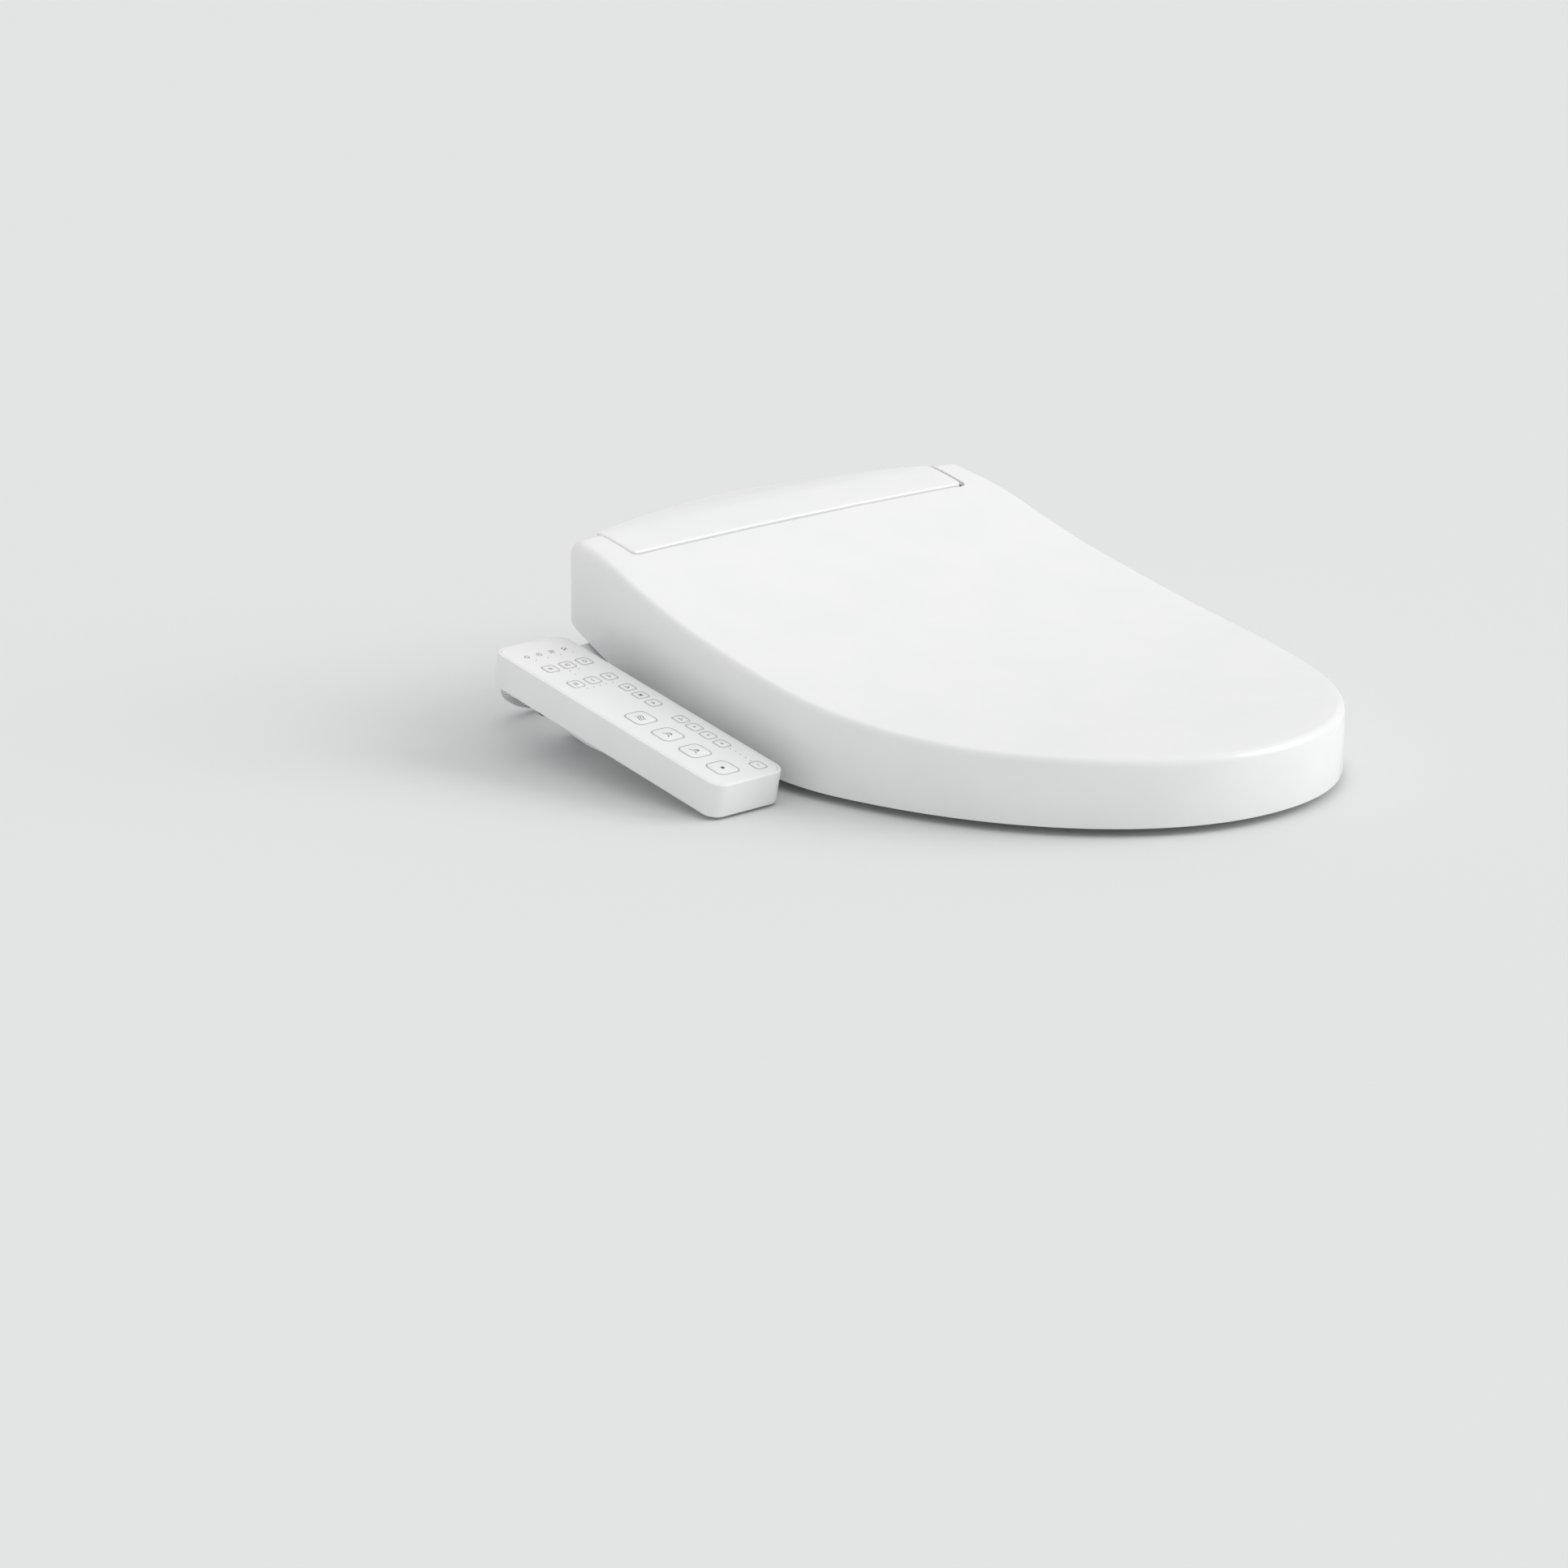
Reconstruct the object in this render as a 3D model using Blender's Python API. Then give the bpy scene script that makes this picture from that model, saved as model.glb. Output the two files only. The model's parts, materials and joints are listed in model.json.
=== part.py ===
"""Electric bidet seat with a side control arm: every piece as its own closed solid.

Frame: metres, +Z up, +X to the sitter's left, -Y to the front of the seat. The origin is on the
rim plane that the seat rests on, midway between the two fixing bolts. The control arm is at -X.
Each object's name is its piece's name.
"""
import math

import bmesh
import bpy
from mathutils import Matrix, Vector

# ---- driving dimensions (metres) -------------------------------------------------------------
GAP = 0.0004            # air between pieces that touch
FRONT_Y = -0.446        # front tip of the lid
WIDEST_Y = -0.149       # where the lid is widest
HALF_WIDTH = 0.1935     # half of the lid's greatest width
FRONT_POWER_X = 2.08    # superellipse powers of the rounded front
FRONT_POWER_Y = 2.27
SIDE_TAPER = 0.006      # how much each side draws in towards the rear
CORNER_Y = 0.029        # where the rear corner starts
REAR_Y = 0.075          # rear edge of the main unit, on the centre line
REAR_RADIUS = 0.383     # plan radius of the rear edge

LID_TOP = [(-0.446, 0.0475), (-0.386, 0.0493), (-0.306, 0.052), (-0.206, 0.0628), (-0.106, 0.0855),
           (-0.059, 0.0998), (-0.009, 0.118), (0.016, 0.125), (0.038, 0.129), (0.075, 0.1275)]
LID_CROWN = 0.0025      # how far the middle of the lid stands above its edge
LID_SKIRT_Z = 0.005     # lower edge of the lid's skirt along the front
SKIRT_RISE_Y = -0.225   # the lower edge sweeps up behind this line
SKIRT_RISE = 0.0665      # how far it has risen at SKIRT_RISE_LENGTH behind that line
SKIRT_RISE_LENGTH = 0.261
LID_WALL = 0.0035
LID_EDGE = 0.005        # rounding between the lid's top and its skirt

HINGE_Y, HINGE_Z = 0.034, 0.106   # the one axis that the seat and the lid turn about
HUB_RADIUS = 0.0075
PIN_RADIUS = 0.004
DAMPER_X, DAMPER_RADIUS = 0.098, 0.007
ARM_X = (0.162, 0.170)            # the seat's hinge arms
LUG_X = (0.172, 0.180)            # the lid's hinge lugs

UNIT_HALF = 0.150       # main unit casing
UNIT_FRONT_Y = -0.060
ROOT_FRONT_Y, ROOT_REAR_Y = -0.014, 0.022   # the root that carries the control arm
ROOT_END_X = -0.2115
UNIT_FLOOR_Z = 0.0055
SPLIT_Z = 0.050         # joint line between the lower and upper casings
CASE_WALL = 0.0025
PLATE_HALF = 0.1586     # the visible top plate between the lid's two ears
PLATE_FRONT_Y = 0.0035
PLATE_DEPTH = 0.008
EAR_REAR_Y = 0.043      # rear edge of the lid's ears
EAR_X = 0.1606          # inner edge of the lid's ears, either side of the plate
CUT_FRONT_Y = -0.0005   # front edge of the lid's cut-out
PLATE_ROUND = 0.0035    # front corners of the plate, and of the cut-out round it
CUT_ROUND = 0.0050

SEAT_INSET = 0.0065     # the seat's edge, in from the lid's
SEAT_UNDER_Z = 0.006
SEAT_SPLIT_Z = 0.0105
SEAT_TOP_Z = 0.029      # crest of the seat ring at the front
SEAT_SLOPE = 0.045      # rise of the crest per metre towards the rear
SEAT_REAR_Y = -0.024
HOLE_Y, HOLE_HALF_X, HOLE_HALF_Y = -0.237, 0.108, 0.138
BRIDGE_Z = 0.027        # underside of the seat's rear bridge, over the nozzle
BRIDGE_HALF = 0.066

ARM_TILT = math.radians(12.35)     # the control arm slopes down towards the front
ARM_CORNER = Vector((-0.243, 0.0166, 0.0726))   # middle of its rear top edge
ARM_LENGTH, ARM_WIDTH, ARM_DEPTH = 0.2283, 0.062, 0.0235
ARM_ROUND = 0.010       # plan radius of its corners
FACE_INSET = 0.0022     # rim left round the face plate
FACE_THICK = 0.002
KEY_TRAVEL = 0.0008

WAND_ANGLE = math.radians(32.0)    # the wand points this far below level
WAND_TIP = Vector((0.0, -0.0615, 0.0165))
WAND_LENGTH, WAND_RADIUS = 0.108, 0.007

HOSE_RADIUS = 0.006
HOSE_REST_Z = 0.0063     # height of the hose's middle where it lies on the floor
HOSE_END_X = 0.140
HOSE_END_Z = 0.0160       # it rises to the middle of the nut
HOSE_WAVE = 0.007
CORD_RADIUS = 0.00325
LEAD_EXIT = Vector((0.020, 0.0724, 0.0200))
COIL_RADIUS = 0.033     # to the middle of the cord's turns
COIL_BAND = 0.0136
COIL_MIDDLE = Vector((0.053, 0.1480, 0.0))
PLUG_Z = 0.0186


# ---- small tools -----------------------------------------------------------------------------
def finish(name, colour, roughness, metallic=0.0):
    """A Principled material with one colour."""
    made = bpy.data.materials.get(name)
    if made:
        return made
    made = bpy.data.materials.new(name)
    made.use_nodes = True
    shader = made.node_tree.nodes["Principled BSDF"]
    shader.inputs["Base Color"].default_value = (*colour, 1.0)
    shader.inputs["Roughness"].default_value = roughness
    shader.inputs["Metallic"].default_value = metallic
    return made


def white():
    return finish("gloss_white", (0.88, 0.88, 0.88), 0.15)


def satin():
    return finish("satin_white", (0.82, 0.82, 0.83), 0.4)


def grey():
    return finish("light_grey", (0.6, 0.6, 0.61), 0.5)


def dark():
    return finish("dark_grey", (0.08, 0.08, 0.09), 0.5)


def chrome():
    return finish("chrome", (0.8, 0.8, 0.8), 0.1, 1.0)


def rubber():
    return finish("rubber", (0.7, 0.7, 0.7), 0.8)


def add_object(name, mesh, material):
    """Link a mesh under a name, shaded smooth where its faces nearly meet."""
    made = bpy.data.objects.new(name, mesh)
    bpy.context.scene.collection.objects.link(made)
    if material:
        mesh.materials.append(material)
        mesh.shade_smooth()
        mesh.set_sharp_from_angle(angle=math.radians(35))
    return made


def solid(name, vertices, faces, material):
    """A closed mesh object from its corners and faces, with the faces turned outward."""
    mesh = bpy.data.meshes.new(name)
    work = bmesh.new()
    corners = [work.verts.new(v) for v in vertices]
    for face in faces:
        work.faces.new([corners[i] for i in face])
    bmesh.ops.recalc_face_normals(work, faces=work.faces)
    work.to_mesh(mesh)
    work.free()
    return add_object(name, mesh, material)


def loft(name, rings, material, closed_loop=False, flat_ends=True):
    """Join rings of equal count into one skin, capped at both ends unless the loop is closed.

    A flat end gets one face; an end that isn't flat gets a fan about its middle.
    """
    count = len(rings[0])
    vertices = [v for ring in rings for v in ring]
    faces = []
    spans = len(rings) if closed_loop else len(rings) - 1
    for r in range(spans):
        low, high = r * count, ((r + 1) % len(rings)) * count
        for i in range(count):
            j = (i + 1) % count
            faces.append((low + i, low + j, high + j, high + i))
    if not closed_loop and flat_ends:
        faces += [list(range(count)), list(range((len(rings) - 1) * count, len(vertices)))]
    elif not closed_loop:
        for start in (0, (len(rings) - 1) * count):
            middle = Vector((0, 0, 0))
            for i in range(count):
                middle += Vector(vertices[start + i]) / count
            vertices.append(middle)
            centre = len(vertices) - 1
            faces += [(start + i, start + (i + 1) % count, centre) for i in range(count)]
    return solid(name, vertices, faces, material)


def prism(name, outline, low, high, material=None):
    """An outline in X and Y, extruded from one height to another."""
    return loft(name, [[(x, y, z) for x, y in outline] for z in (low, high)], material)


def block(name, low, high, material=None):
    """A plain box between two corners."""
    outline = [(low[0], low[1]), (high[0], low[1]), (high[0], high[1]), (low[0], high[1])]
    return prism(name, outline, low[2], high[2], material)


def rounded(half_x, half_y, radius, steps=3, middle=(0.0, 0.0)):
    """A rectangle with round corners, as points in order."""
    points = []
    for k, (sx, sy) in enumerate(((1, 1), (-1, 1), (-1, -1), (1, -1))):
        cx, cy = middle[0] + sx * (half_x - radius), middle[1] + sy * (half_y - radius)
        for i in range(steps + 1):
            turn = math.pi / 2 * (k + i / steps)
            points.append((cx + radius * math.cos(turn), cy + radius * math.sin(turn)))
    return points


def turned(name, profile, start, along, material=None, sides=24):
    """A solid of revolution: (distance, radius) pairs along a direction from a start point."""
    along = Vector(along).normalized()
    across = along.orthogonal().normalized()
    other = along.cross(across)
    rings = []
    for distance, radius in profile:
        ring = []
        for i in range(sides):
            turn = 2 * math.pi * i / sides
            side = across * math.cos(turn) + other * math.sin(turn)
            ring.append(along * distance + side * radius)
        rings.append(ring)
    made = loft(name, rings, material)
    made.location = start
    return made


def rod(name, start, along, length, radius, material=None, sides=24):
    return turned(name, [(0, radius), (length, radius)], start, along, material, sides)


def cut(target, *tools):
    """Subtract tools from a solid; each tool stays in the file as a hidden guide."""
    for tool in tools:
        combine(target, tool, "DIFFERENCE")


def join(target, *tools):
    """Weld tools onto a solid."""
    for tool in tools:
        combine(target, tool, "UNION")


def combine(target, tool, how):
    tool.hide_render = True
    tool.display_type = "WIRE"
    step = target.modifiers.new(tool.name, "BOOLEAN")
    step.operation = how
    step.object = tool
    step.solver = "EXACT"


def soften(target, width, segments=1, angle=50):
    """Bevel a solid's sharp edges."""
    step = target.modifiers.new("bevel", "BEVEL")
    step.width = width
    step.segments = segments
    step.limit_method = "ANGLE"
    step.angle_limit = math.radians(angle)


def smooth_value(table, at):
    """Read a smooth curve through (place, value) pairs, by cubic Hermite pieces."""
    at = min(max(at, table[0][0]), table[-1][0])
    for i in range(len(table) - 1):
        (x0, y0), (x1, y1) = table[i], table[i + 1]
        if at <= x1:
            break
    before, after = table[max(i - 1, 0)], table[min(i + 2, len(table) - 1)]
    slope0 = (y1 - before[1]) / (x1 - before[0])
    slope1 = (after[1] - y0) / (after[0] - x0)
    span, t = x1 - x0, (at - x0) / (x1 - x0)
    return ((2 * t**3 - 3 * t**2 + 1) * y0 + (t**3 - 2 * t**2 + t) * span * slope0
            + (3 * t**2 - 2 * t**3) * y1 + (t**3 - t**2) * span * slope1)


def smooth_path(points, count):
    """Evenly spaced points on a Catmull-Rom curve through the given ones."""
    points = [Vector(p) for p in points]
    ends = [2 * points[0] - points[1]] + points + [2 * points[-1] - points[-2]]
    fine = []
    for i in range(1, len(ends) - 2):
        a, b, c, d = ends[i - 1:i + 3]
        for k in range(40):
            t = k / 40
            fine.append(0.5 * (2 * b + (c - a) * t + (2 * a - 5 * b + 4 * c - d) * t * t
                               + (3 * b - a - 3 * c + d) * t**3))
    fine.append(points[-1])
    lengths = [0.0]
    for a, b in zip(fine, fine[1:]):
        lengths.append(lengths[-1] + (b - a).length)
    path, k = [], 0
    for i in range(count):
        want = lengths[-1] * i / (count - 1)
        while k < len(fine) - 2 and lengths[k + 1] < want:
            k += 1
        t = (want - lengths[k]) / max(lengths[k + 1] - lengths[k], 1e-9)
        path.append(fine[k].lerp(fine[k + 1], min(t, 1.0)))
    return path


def tube(name, path, radius, material, resolution=2):
    """A round cord or hose along a path, with closed ends."""
    curve = bpy.data.curves.new(name, "CURVE")
    curve.dimensions = "3D"
    curve.bevel_depth = radius
    curve.bevel_resolution = resolution
    curve.use_fill_caps = True
    spline = curve.splines.new("POLY")
    spline.points.add(len(path) - 1)
    for point, place in zip(spline.points, path):
        point.co = (*place, 1.0)
    curve.materials.append(material)
    made = bpy.data.objects.new(name, curve)
    bpy.context.scene.collection.objects.link(made)
    return made


# ---- shared shapes ---------------------------------------------------------------------------
def rear_edge(x):
    """Y of the curved rear edge at a distance from the centre line."""
    return REAR_Y - x * x / (2 * REAR_RADIUS)


def lid_outline(inset=0.0, ears=True):
    """Plan of the lid, from the front tip round by +X, drawn in by an inset."""
    half = []
    for i in range(18):
        turn = math.pi / 2 * i / 17
        half.append((HALF_WIDTH * math.sin(turn) ** (2 / FRONT_POWER_X),
                     WIDEST_Y - (WIDEST_Y - FRONT_Y) * math.cos(turn) ** (2 / FRONT_POWER_Y)))
    for i in range(1, 6):
        t = i / 5
        half.append((HALF_WIDTH - SIDE_TAPER * t * t, WIDEST_Y + (CORNER_Y - WIDEST_Y) * t))
    corner = (half[-1], (0.1873, EAR_REAR_Y), (0.172, EAR_REAR_Y))
    for i in range(1, 6):
        t = i / 5
        half.append(tuple((1 - t) ** 2 * a + 2 * t * (1 - t) * b + t * t * c
                          for a, b, c in zip(*corner)))
    if ears:
        half.append((0.160, EAR_REAR_Y))
    for i in range(1, 8):
        x = 0.172 * (1 - i / 7)
        half.append((x, rear_edge(x)))
    points = half + [(-x, y) for x, y in reversed(half[1:-1])]
    return inset_outline(points, inset)


def inset_outline(points, inset):
    """Move every point of a closed outline inward, square to its neighbours."""
    if not inset:
        return points
    moved = []
    for i, (x, y) in enumerate(points):
        ax, ay = points[i - 1]
        bx, by = points[(i + 1) % len(points)]
        length = math.hypot(bx - ax, by - ay)
        moved.append((x - (by - ay) / length * inset, y + (bx - ax) / length * inset))
    return moved


def lid_height(x, y):
    """Height of the lid's top, and of the top plate, which carries the same surface on."""
    return smooth_value(LID_TOP, y) + LID_CROWN * (1 - min(abs(x) / HALF_WIDTH, 1) ** 2)


def skirt_bottom(y):
    """Height of the lower edge of the lid's skirt."""
    back = max(y - SKIRT_RISE_Y, 0.0)
    return LID_SKIRT_Z + SKIRT_RISE * (back / SKIRT_RISE_LENGTH) ** 2


def domed(name, outline, bottom, drop, edge, material=None, middle=(0.0, -0.15)):
    """A solid under the lid's surface: its outline, its bottom, and how far its top lies below."""
    rings = [[(x, y, bottom(y)) for x, y in outline]]
    for inward, down in ((0.0, edge), (edge * 0.3, edge * 0.3), (edge, 0.0)):
        rings.append([(x, y, lid_height(x, y) - drop - down)
                      for x, y in inset_outline(outline, inward)])
    base = inset_outline(outline, edge)
    for scale in (0.9, 0.72, 0.5, 0.25, 0.04):
        ring = []
        for x, y in base:
            px = middle[0] + (x - middle[0]) * scale
            py = middle[1] + (y - middle[1]) * scale
            ring.append((px, py, lid_height(px, py) - drop))
        rings.append(ring)
    return loft(name, rings, material, flat_ends=False)


def unit_outline(inset=0.0):
    """Plan of the main unit's casing, inside the lid."""
    radius = 0.010
    half = [(0.0, UNIT_FRONT_Y), (0.07, UNIT_FRONT_Y)]
    for i in range(4):
        turn = math.pi / 2 * (i / 3 - 1)
        half.append((UNIT_HALF - radius + radius * math.cos(turn),
                     UNIT_FRONT_Y + radius + radius * math.sin(turn)))
    rear = REAR_Y - 0.003
    side = rear - UNIT_HALF**2 / (2 * REAR_RADIUS)
    half += [(UNIT_HALF, side - 0.008), (UNIT_HALF - 0.003, side - 0.002)]
    for i in range(6):
        x = (UNIT_HALF - 0.010) * (1 - i / 5)
        half.append((x, rear - x * x / (2 * REAR_RADIUS)))
    points = half + [(-x, y) for x, y in reversed(half[1:-1])]
    return inset_outline(points, inset)


def set_origin(target, place):
    """Move an object's origin without moving its shape, so that it sits on a joint's axis."""
    place = Vector(place)
    target.data.transform(Matrix.Translation(target.location - place))
    target.location = place


def side_profile(name, profile, x0, x1, material=None):
    """An outline in Y and Z, extruded across from one X to another."""
    return loft(name, [[(x, y, z) for y, z in profile] for x in (x0, x1)], material)


def hub_arc(first, last, steps):
    """Part of the hinge hub's circle in Y and Z, between two angles in degrees."""
    arc = []
    for i in range(steps + 1):
        turn = math.radians(first + (last - first) * i / steps)
        arc.append((HINGE_Y + HUB_RADIUS * math.cos(turn), HINGE_Z + HUB_RADIUS * math.sin(turn)))
    return arc


def mirrored(make):
    """Make the left (+X) and right (-X) pieces of a pair."""
    for side, sign in (("left", 1), ("right", -1)):
        make(side, sign)


# ---- main unit -------------------------------------------------------------------------------
def build_base_plate():
    plate = prism("base_plate", rounded(0.100, 0.040, 0.008), 0.0, UNIT_FLOOR_Z - GAP, grey())
    for sign in (1, -1):
        cut(plate, prism("slot_guide", rounded(0.011, 0.0045, 0.004, middle=(sign * 0.0725, 0.0)),
                         -0.01, 0.02))

    def bolt(side, sign):
        x = sign * 0.0725
        profile = [(0.0, 0.0038), (UNIT_FLOOR_Z, 0.0038), (UNIT_FLOOR_Z, 0.013),
                   (UNIT_FLOOR_Z + 0.002, 0.013), (UNIT_FLOOR_Z + 0.002, 0.009),
                   (UNIT_FLOOR_Z + 0.0055, 0.009)]
        turned(f"fixing_bolt_{side}", profile, (x, 0.0, 0.0), (0, 0, 1), satin(), 20)
    mirrored(bolt)


def build_lower_casing():
    casing = prism("lower_casing", unit_outline(), UNIT_FLOOR_Z, SPLIT_Z - GAP, satin())
    cut(casing,
        prism("lower_hollow", unit_outline(CASE_WALL), UNIT_FLOOR_Z + CASE_WALL, SPLIT_Z + 0.02),
        rod("wand_port", wand_point(-0.03), -wand_direction(), 0.06, WAND_RADIUS + 0.0015),
        block("dryer_port", (-0.060, UNIT_FRONT_Y - 0.01, 0.0095),
              (-0.030, UNIT_FRONT_Y + 0.01, 0.0225)))
    for sign in (1, -1):
        cut(casing, prism("bolt_hole", rounded(0.016, 0.016, 0.008, middle=(sign * 0.0725, 0.0)),
                          -0.01, 0.02))
    # the root that carries the control arm, passing under the swept-up edge of the lid
    profile = [(ROOT_REAR_Y, UNIT_FLOOR_Z + 0.0005)]
    for i in range(6):
        y = ROOT_REAR_Y + (ROOT_FRONT_Y - ROOT_REAR_Y) * i / 5
        profile.append((y, skirt_bottom(y) - 0.0035))
    profile.append((ROOT_FRONT_Y, UNIT_FLOOR_Z + 0.0005))
    join(casing, side_profile("arm_root", profile, ROOT_END_X, -UNIT_HALF - 0.0006),
         block("root_weld", (-UNIT_HALF - 0.003, ROOT_FRONT_Y + 0.001, UNIT_FLOOR_Z + 0.001),
               (-UNIT_HALF + 0.001, ROOT_REAR_Y - 0.001, 0.043)))
    cut(casing, block("root_hollow", (-0.30, ROOT_FRONT_Y + 0.0025, UNIT_FLOOR_Z + 0.0032),
                      (-UNIT_HALF + 0.005, ROOT_REAR_Y - 0.0025, 0.0405)))


def build_upper_casing():
    casing = domed("upper_casing", unit_outline(), lambda y: SPLIT_Z, PLATE_DEPTH + 0.0009, 0.004,
                   white(), middle=(0.0, 0.005))
    cut(casing,
        domed("upper_hollow", unit_outline(CASE_WALL), lambda y: SPLIT_Z - 0.02,
              PLATE_DEPTH + 0.0009 + CASE_WALL, 0.003, middle=(0.0, 0.005)))
    for sign in (1, -1):
        cut(casing, rod("pin_port", (sign * 0.140, HINGE_Y, HINGE_Z), (sign, 0, 0), 0.02,
                        PIN_RADIUS + 0.0006))


def plate_outline():
    """Outline of the top plate: round front corners, and the lid's own curve at the rear."""
    half = [((PLATE_HALF - PLATE_ROUND) * i / 8, PLATE_FRONT_Y) for i in range(8)]
    for i in range(6):
        turn = math.pi / 2 * (i / 5 - 1)
        half.append((PLATE_HALF - PLATE_ROUND + PLATE_ROUND * math.cos(turn),
                     PLATE_FRONT_Y + PLATE_ROUND + PLATE_ROUND * math.sin(turn)))
    first, rear = PLATE_FRONT_Y + PLATE_ROUND, rear_edge(PLATE_HALF)
    half += [(PLATE_HALF, first + (rear - first) * i / 3) for i in range(1, 4)]
    for i in range(1, 13):
        x = PLATE_HALF * (1 - i / 12)
        half.append((x, rear_edge(x)))
    return half + [(-x, y) for x, y in reversed(half[1:-1])]


def build_top_plate():
    """The plate that shows between the lid's ears, carrying the lid's surface to the rear."""
    outline, middle = plate_outline(), (0.0, 0.036)
    levels = [(0.0, scale, PLATE_DEPTH) for scale in (0.3, 0.6, 0.85, 1.0)]
    levels += [(0.0, 1.0, 0.0010), (0.0003, 1.0, 0.0003)]
    levels += [(0.0010, scale, 0.0) for scale in (1.0, 0.85, 0.6, 0.3)]
    rings = []
    for inset, scale, down in levels:
        ring = []
        for x, y in inset_outline(outline, inset):
            px, py = middle[0] + (x - middle[0]) * scale, middle[1] + (y - middle[1]) * scale
            ring.append((px, py, lid_height(px, py) - down))
        rings.append(ring)
    loft("top_plate", rings, white(), flat_ends=False)


def build_hinge(side, sign):
    """Oil damper with the pin that carries the seat's arm and the lid's lug."""
    profile = [(0.0, DAMPER_RADIUS), (0.040, DAMPER_RADIUS), (0.040, PIN_RADIUS),
               (LUG_X[1] + 0.001 - DAMPER_X, PIN_RADIUS)]
    turned(f"hinge_damper_{side}", profile, (sign * DAMPER_X, HINGE_Y, HINGE_Z), (sign, 0, 0),
           grey(), 20)


# ---- lid -------------------------------------------------------------------------------------
def build_lid():
    lid = domed("lid", lid_outline(), skirt_bottom, 0.0, LID_EDGE, white())
    cut(lid,
        domed("lid_hollow", lid_outline(LID_WALL), lambda y: -0.02, LID_WALL, LID_EDGE - 0.002),
        prism("plate_cut_out", rounded(EAR_X, 0.15, CUT_ROUND, 5, (0.0, CUT_FRONT_Y + 0.15)),
              -0.03, 0.2),
        block("rear_relief", (-0.1715, 0.024, -0.03), (0.1715, 0.2, 0.116)))
    for sign in (1, -1):
        x0, x1 = sorted((sign * LUG_X[0], sign * LUG_X[1]))
        profile = [(0.0205, 0.1248), (0.0285, 0.1248), *hub_arc(50, -170, 10)]
        join(lid, side_profile("lug", profile, x0, x1))
        cut(lid, rod("lug_bore", (x0 - 0.003, HINGE_Y, HINGE_Z), (1, 0, 0), x1 - x0 + 0.006,
                     PIN_RADIUS + 0.0004))
    set_origin(lid, (0.0, HINGE_Y, HINGE_Z))

    def bumper(side, sign):
        x, y = sign * 0.100, -0.360
        top = lid_height(x, y) - LID_WALL
        rod(f"lid_bumper_{side}", (x, y, seat_crest(y) + 0.0012), (0, 0, 1),
            top - seat_crest(y) - 0.0028, 0.006, rubber(), 16)
    mirrored(bumper)


# ---- seat ------------------------------------------------------------------------------------
def seat_crest(y):
    """Height of the seat ring's crest."""
    return SEAT_TOP_Z + SEAT_SLOPE * (y - FRONT_Y)


def seat_sections(inward):
    """The seat's outer and inner edges as matching points, going round from the front."""
    outer = [(x, min(y, SEAT_REAR_Y)) for x, y in lid_outline(SEAT_INSET + inward, ears=False)]
    inner = []
    for x, y in outer:
        turn = math.atan2(x / (HALF_WIDTH - SEAT_INSET), -(y - HOLE_Y) / 0.2)
        inner.append((math.sin(turn) * (HOLE_HALF_X + inward),
                      HOLE_Y - math.cos(turn) * (HOLE_HALF_Y + inward)))
    return outer, inner


def seat_ring(name, levels, material):
    """A ring whose section is a list of (how far across from outer to inner, height) corners."""
    rings = []
    for inward, share, height in levels:
        outer, inner = seat_sections(inward)
        rings.append([(a[0] + (b[0] - a[0]) * share, a[1] + (b[1] - a[1]) * share,
                       height(a[1] + (b[1] - a[1]) * share))
                      for a, b in zip(outer, inner)])
    ring = loft(name, rings, material, closed_loop=True)
    cut(ring, block(name + "_unit_bay", (-0.1545, -0.0645, -0.02), (0.1545, 0.1, 0.2)),
        block(name + "_nozzle_bay", (-BRIDGE_HALF, -0.110, -0.02), (BRIDGE_HALF, -0.05, BRIDGE_Z)))
    set_origin(ring, (0.0, HINGE_Y, HINGE_Z))


def build_seat():
    def flat(z):
        return lambda y: z

    def below_crest(down):
        return lambda y: seat_crest(y) - down

    seat_ring("seat_top",
              [(0.0, 0.0, flat(SEAT_SPLIT_Z)), (0.0, 0.0, below_crest(0.010)),
               (0.004, 0.0, below_crest(0.004)), (0.0, 0.35, below_crest(0.0)),
               (0.0, 0.70, below_crest(0.001)), (0.004, 1.0, below_crest(0.007)),
               (0.0, 1.0, below_crest(0.013)), (0.0, 1.0, flat(SEAT_SPLIT_Z))], white())
    seat_ring("seat_base",
              [(0.0, 0.0, flat(SEAT_UNDER_Z)), (0.0, 0.0, flat(SEAT_SPLIT_Z - GAP)),
               (0.0, 1.0, flat(SEAT_SPLIT_Z - GAP)), (0.0, 1.0, flat(SEAT_UNDER_Z))], satin())

    def arm(side, sign):
        x0, x1 = sorted((sign * ARM_X[0], sign * ARM_X[1]))
        foot = seat_crest(-0.05)
        profile = [(-0.058, foot + GAP), (-0.030, foot + GAP), (-0.004, 0.058),
                   *hub_arc(-40, 140, 8), (-0.004, 0.076), (-0.036, 0.058)]
        made = side_profile(f"seat_arm_{side}", profile, x0, x1, satin())
        cut(made, rod("arm_bore", (x0 - 0.003, HINGE_Y, HINGE_Z), (1, 0, 0), x1 - x0 + 0.006,
                      PIN_RADIUS + 0.0004))
        set_origin(made, (0.0, HINGE_Y, HINGE_Z))
    mirrored(arm)
    for end, x, y in (("front", 0.115, -0.350), ("rear", 0.150, -0.110)):
        for side, sign in (("left", 1), ("right", -1)):
            rod(f"seat_bumper_{end}_{side}", (sign * x, y, 0.0), (0, 0, 1), SEAT_UNDER_Z - GAP,
                0.009, rubber(), 16)


# ---- wash, dry and control gear inside the unit ----------------------------------------------
def wand_direction():
    return Vector((0.0, -math.cos(WAND_ANGLE), -math.sin(WAND_ANGLE)))


def wand_point(behind):
    """A point on the wand's axis, behind its tip."""
    return WAND_TIP - wand_direction() * behind


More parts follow.
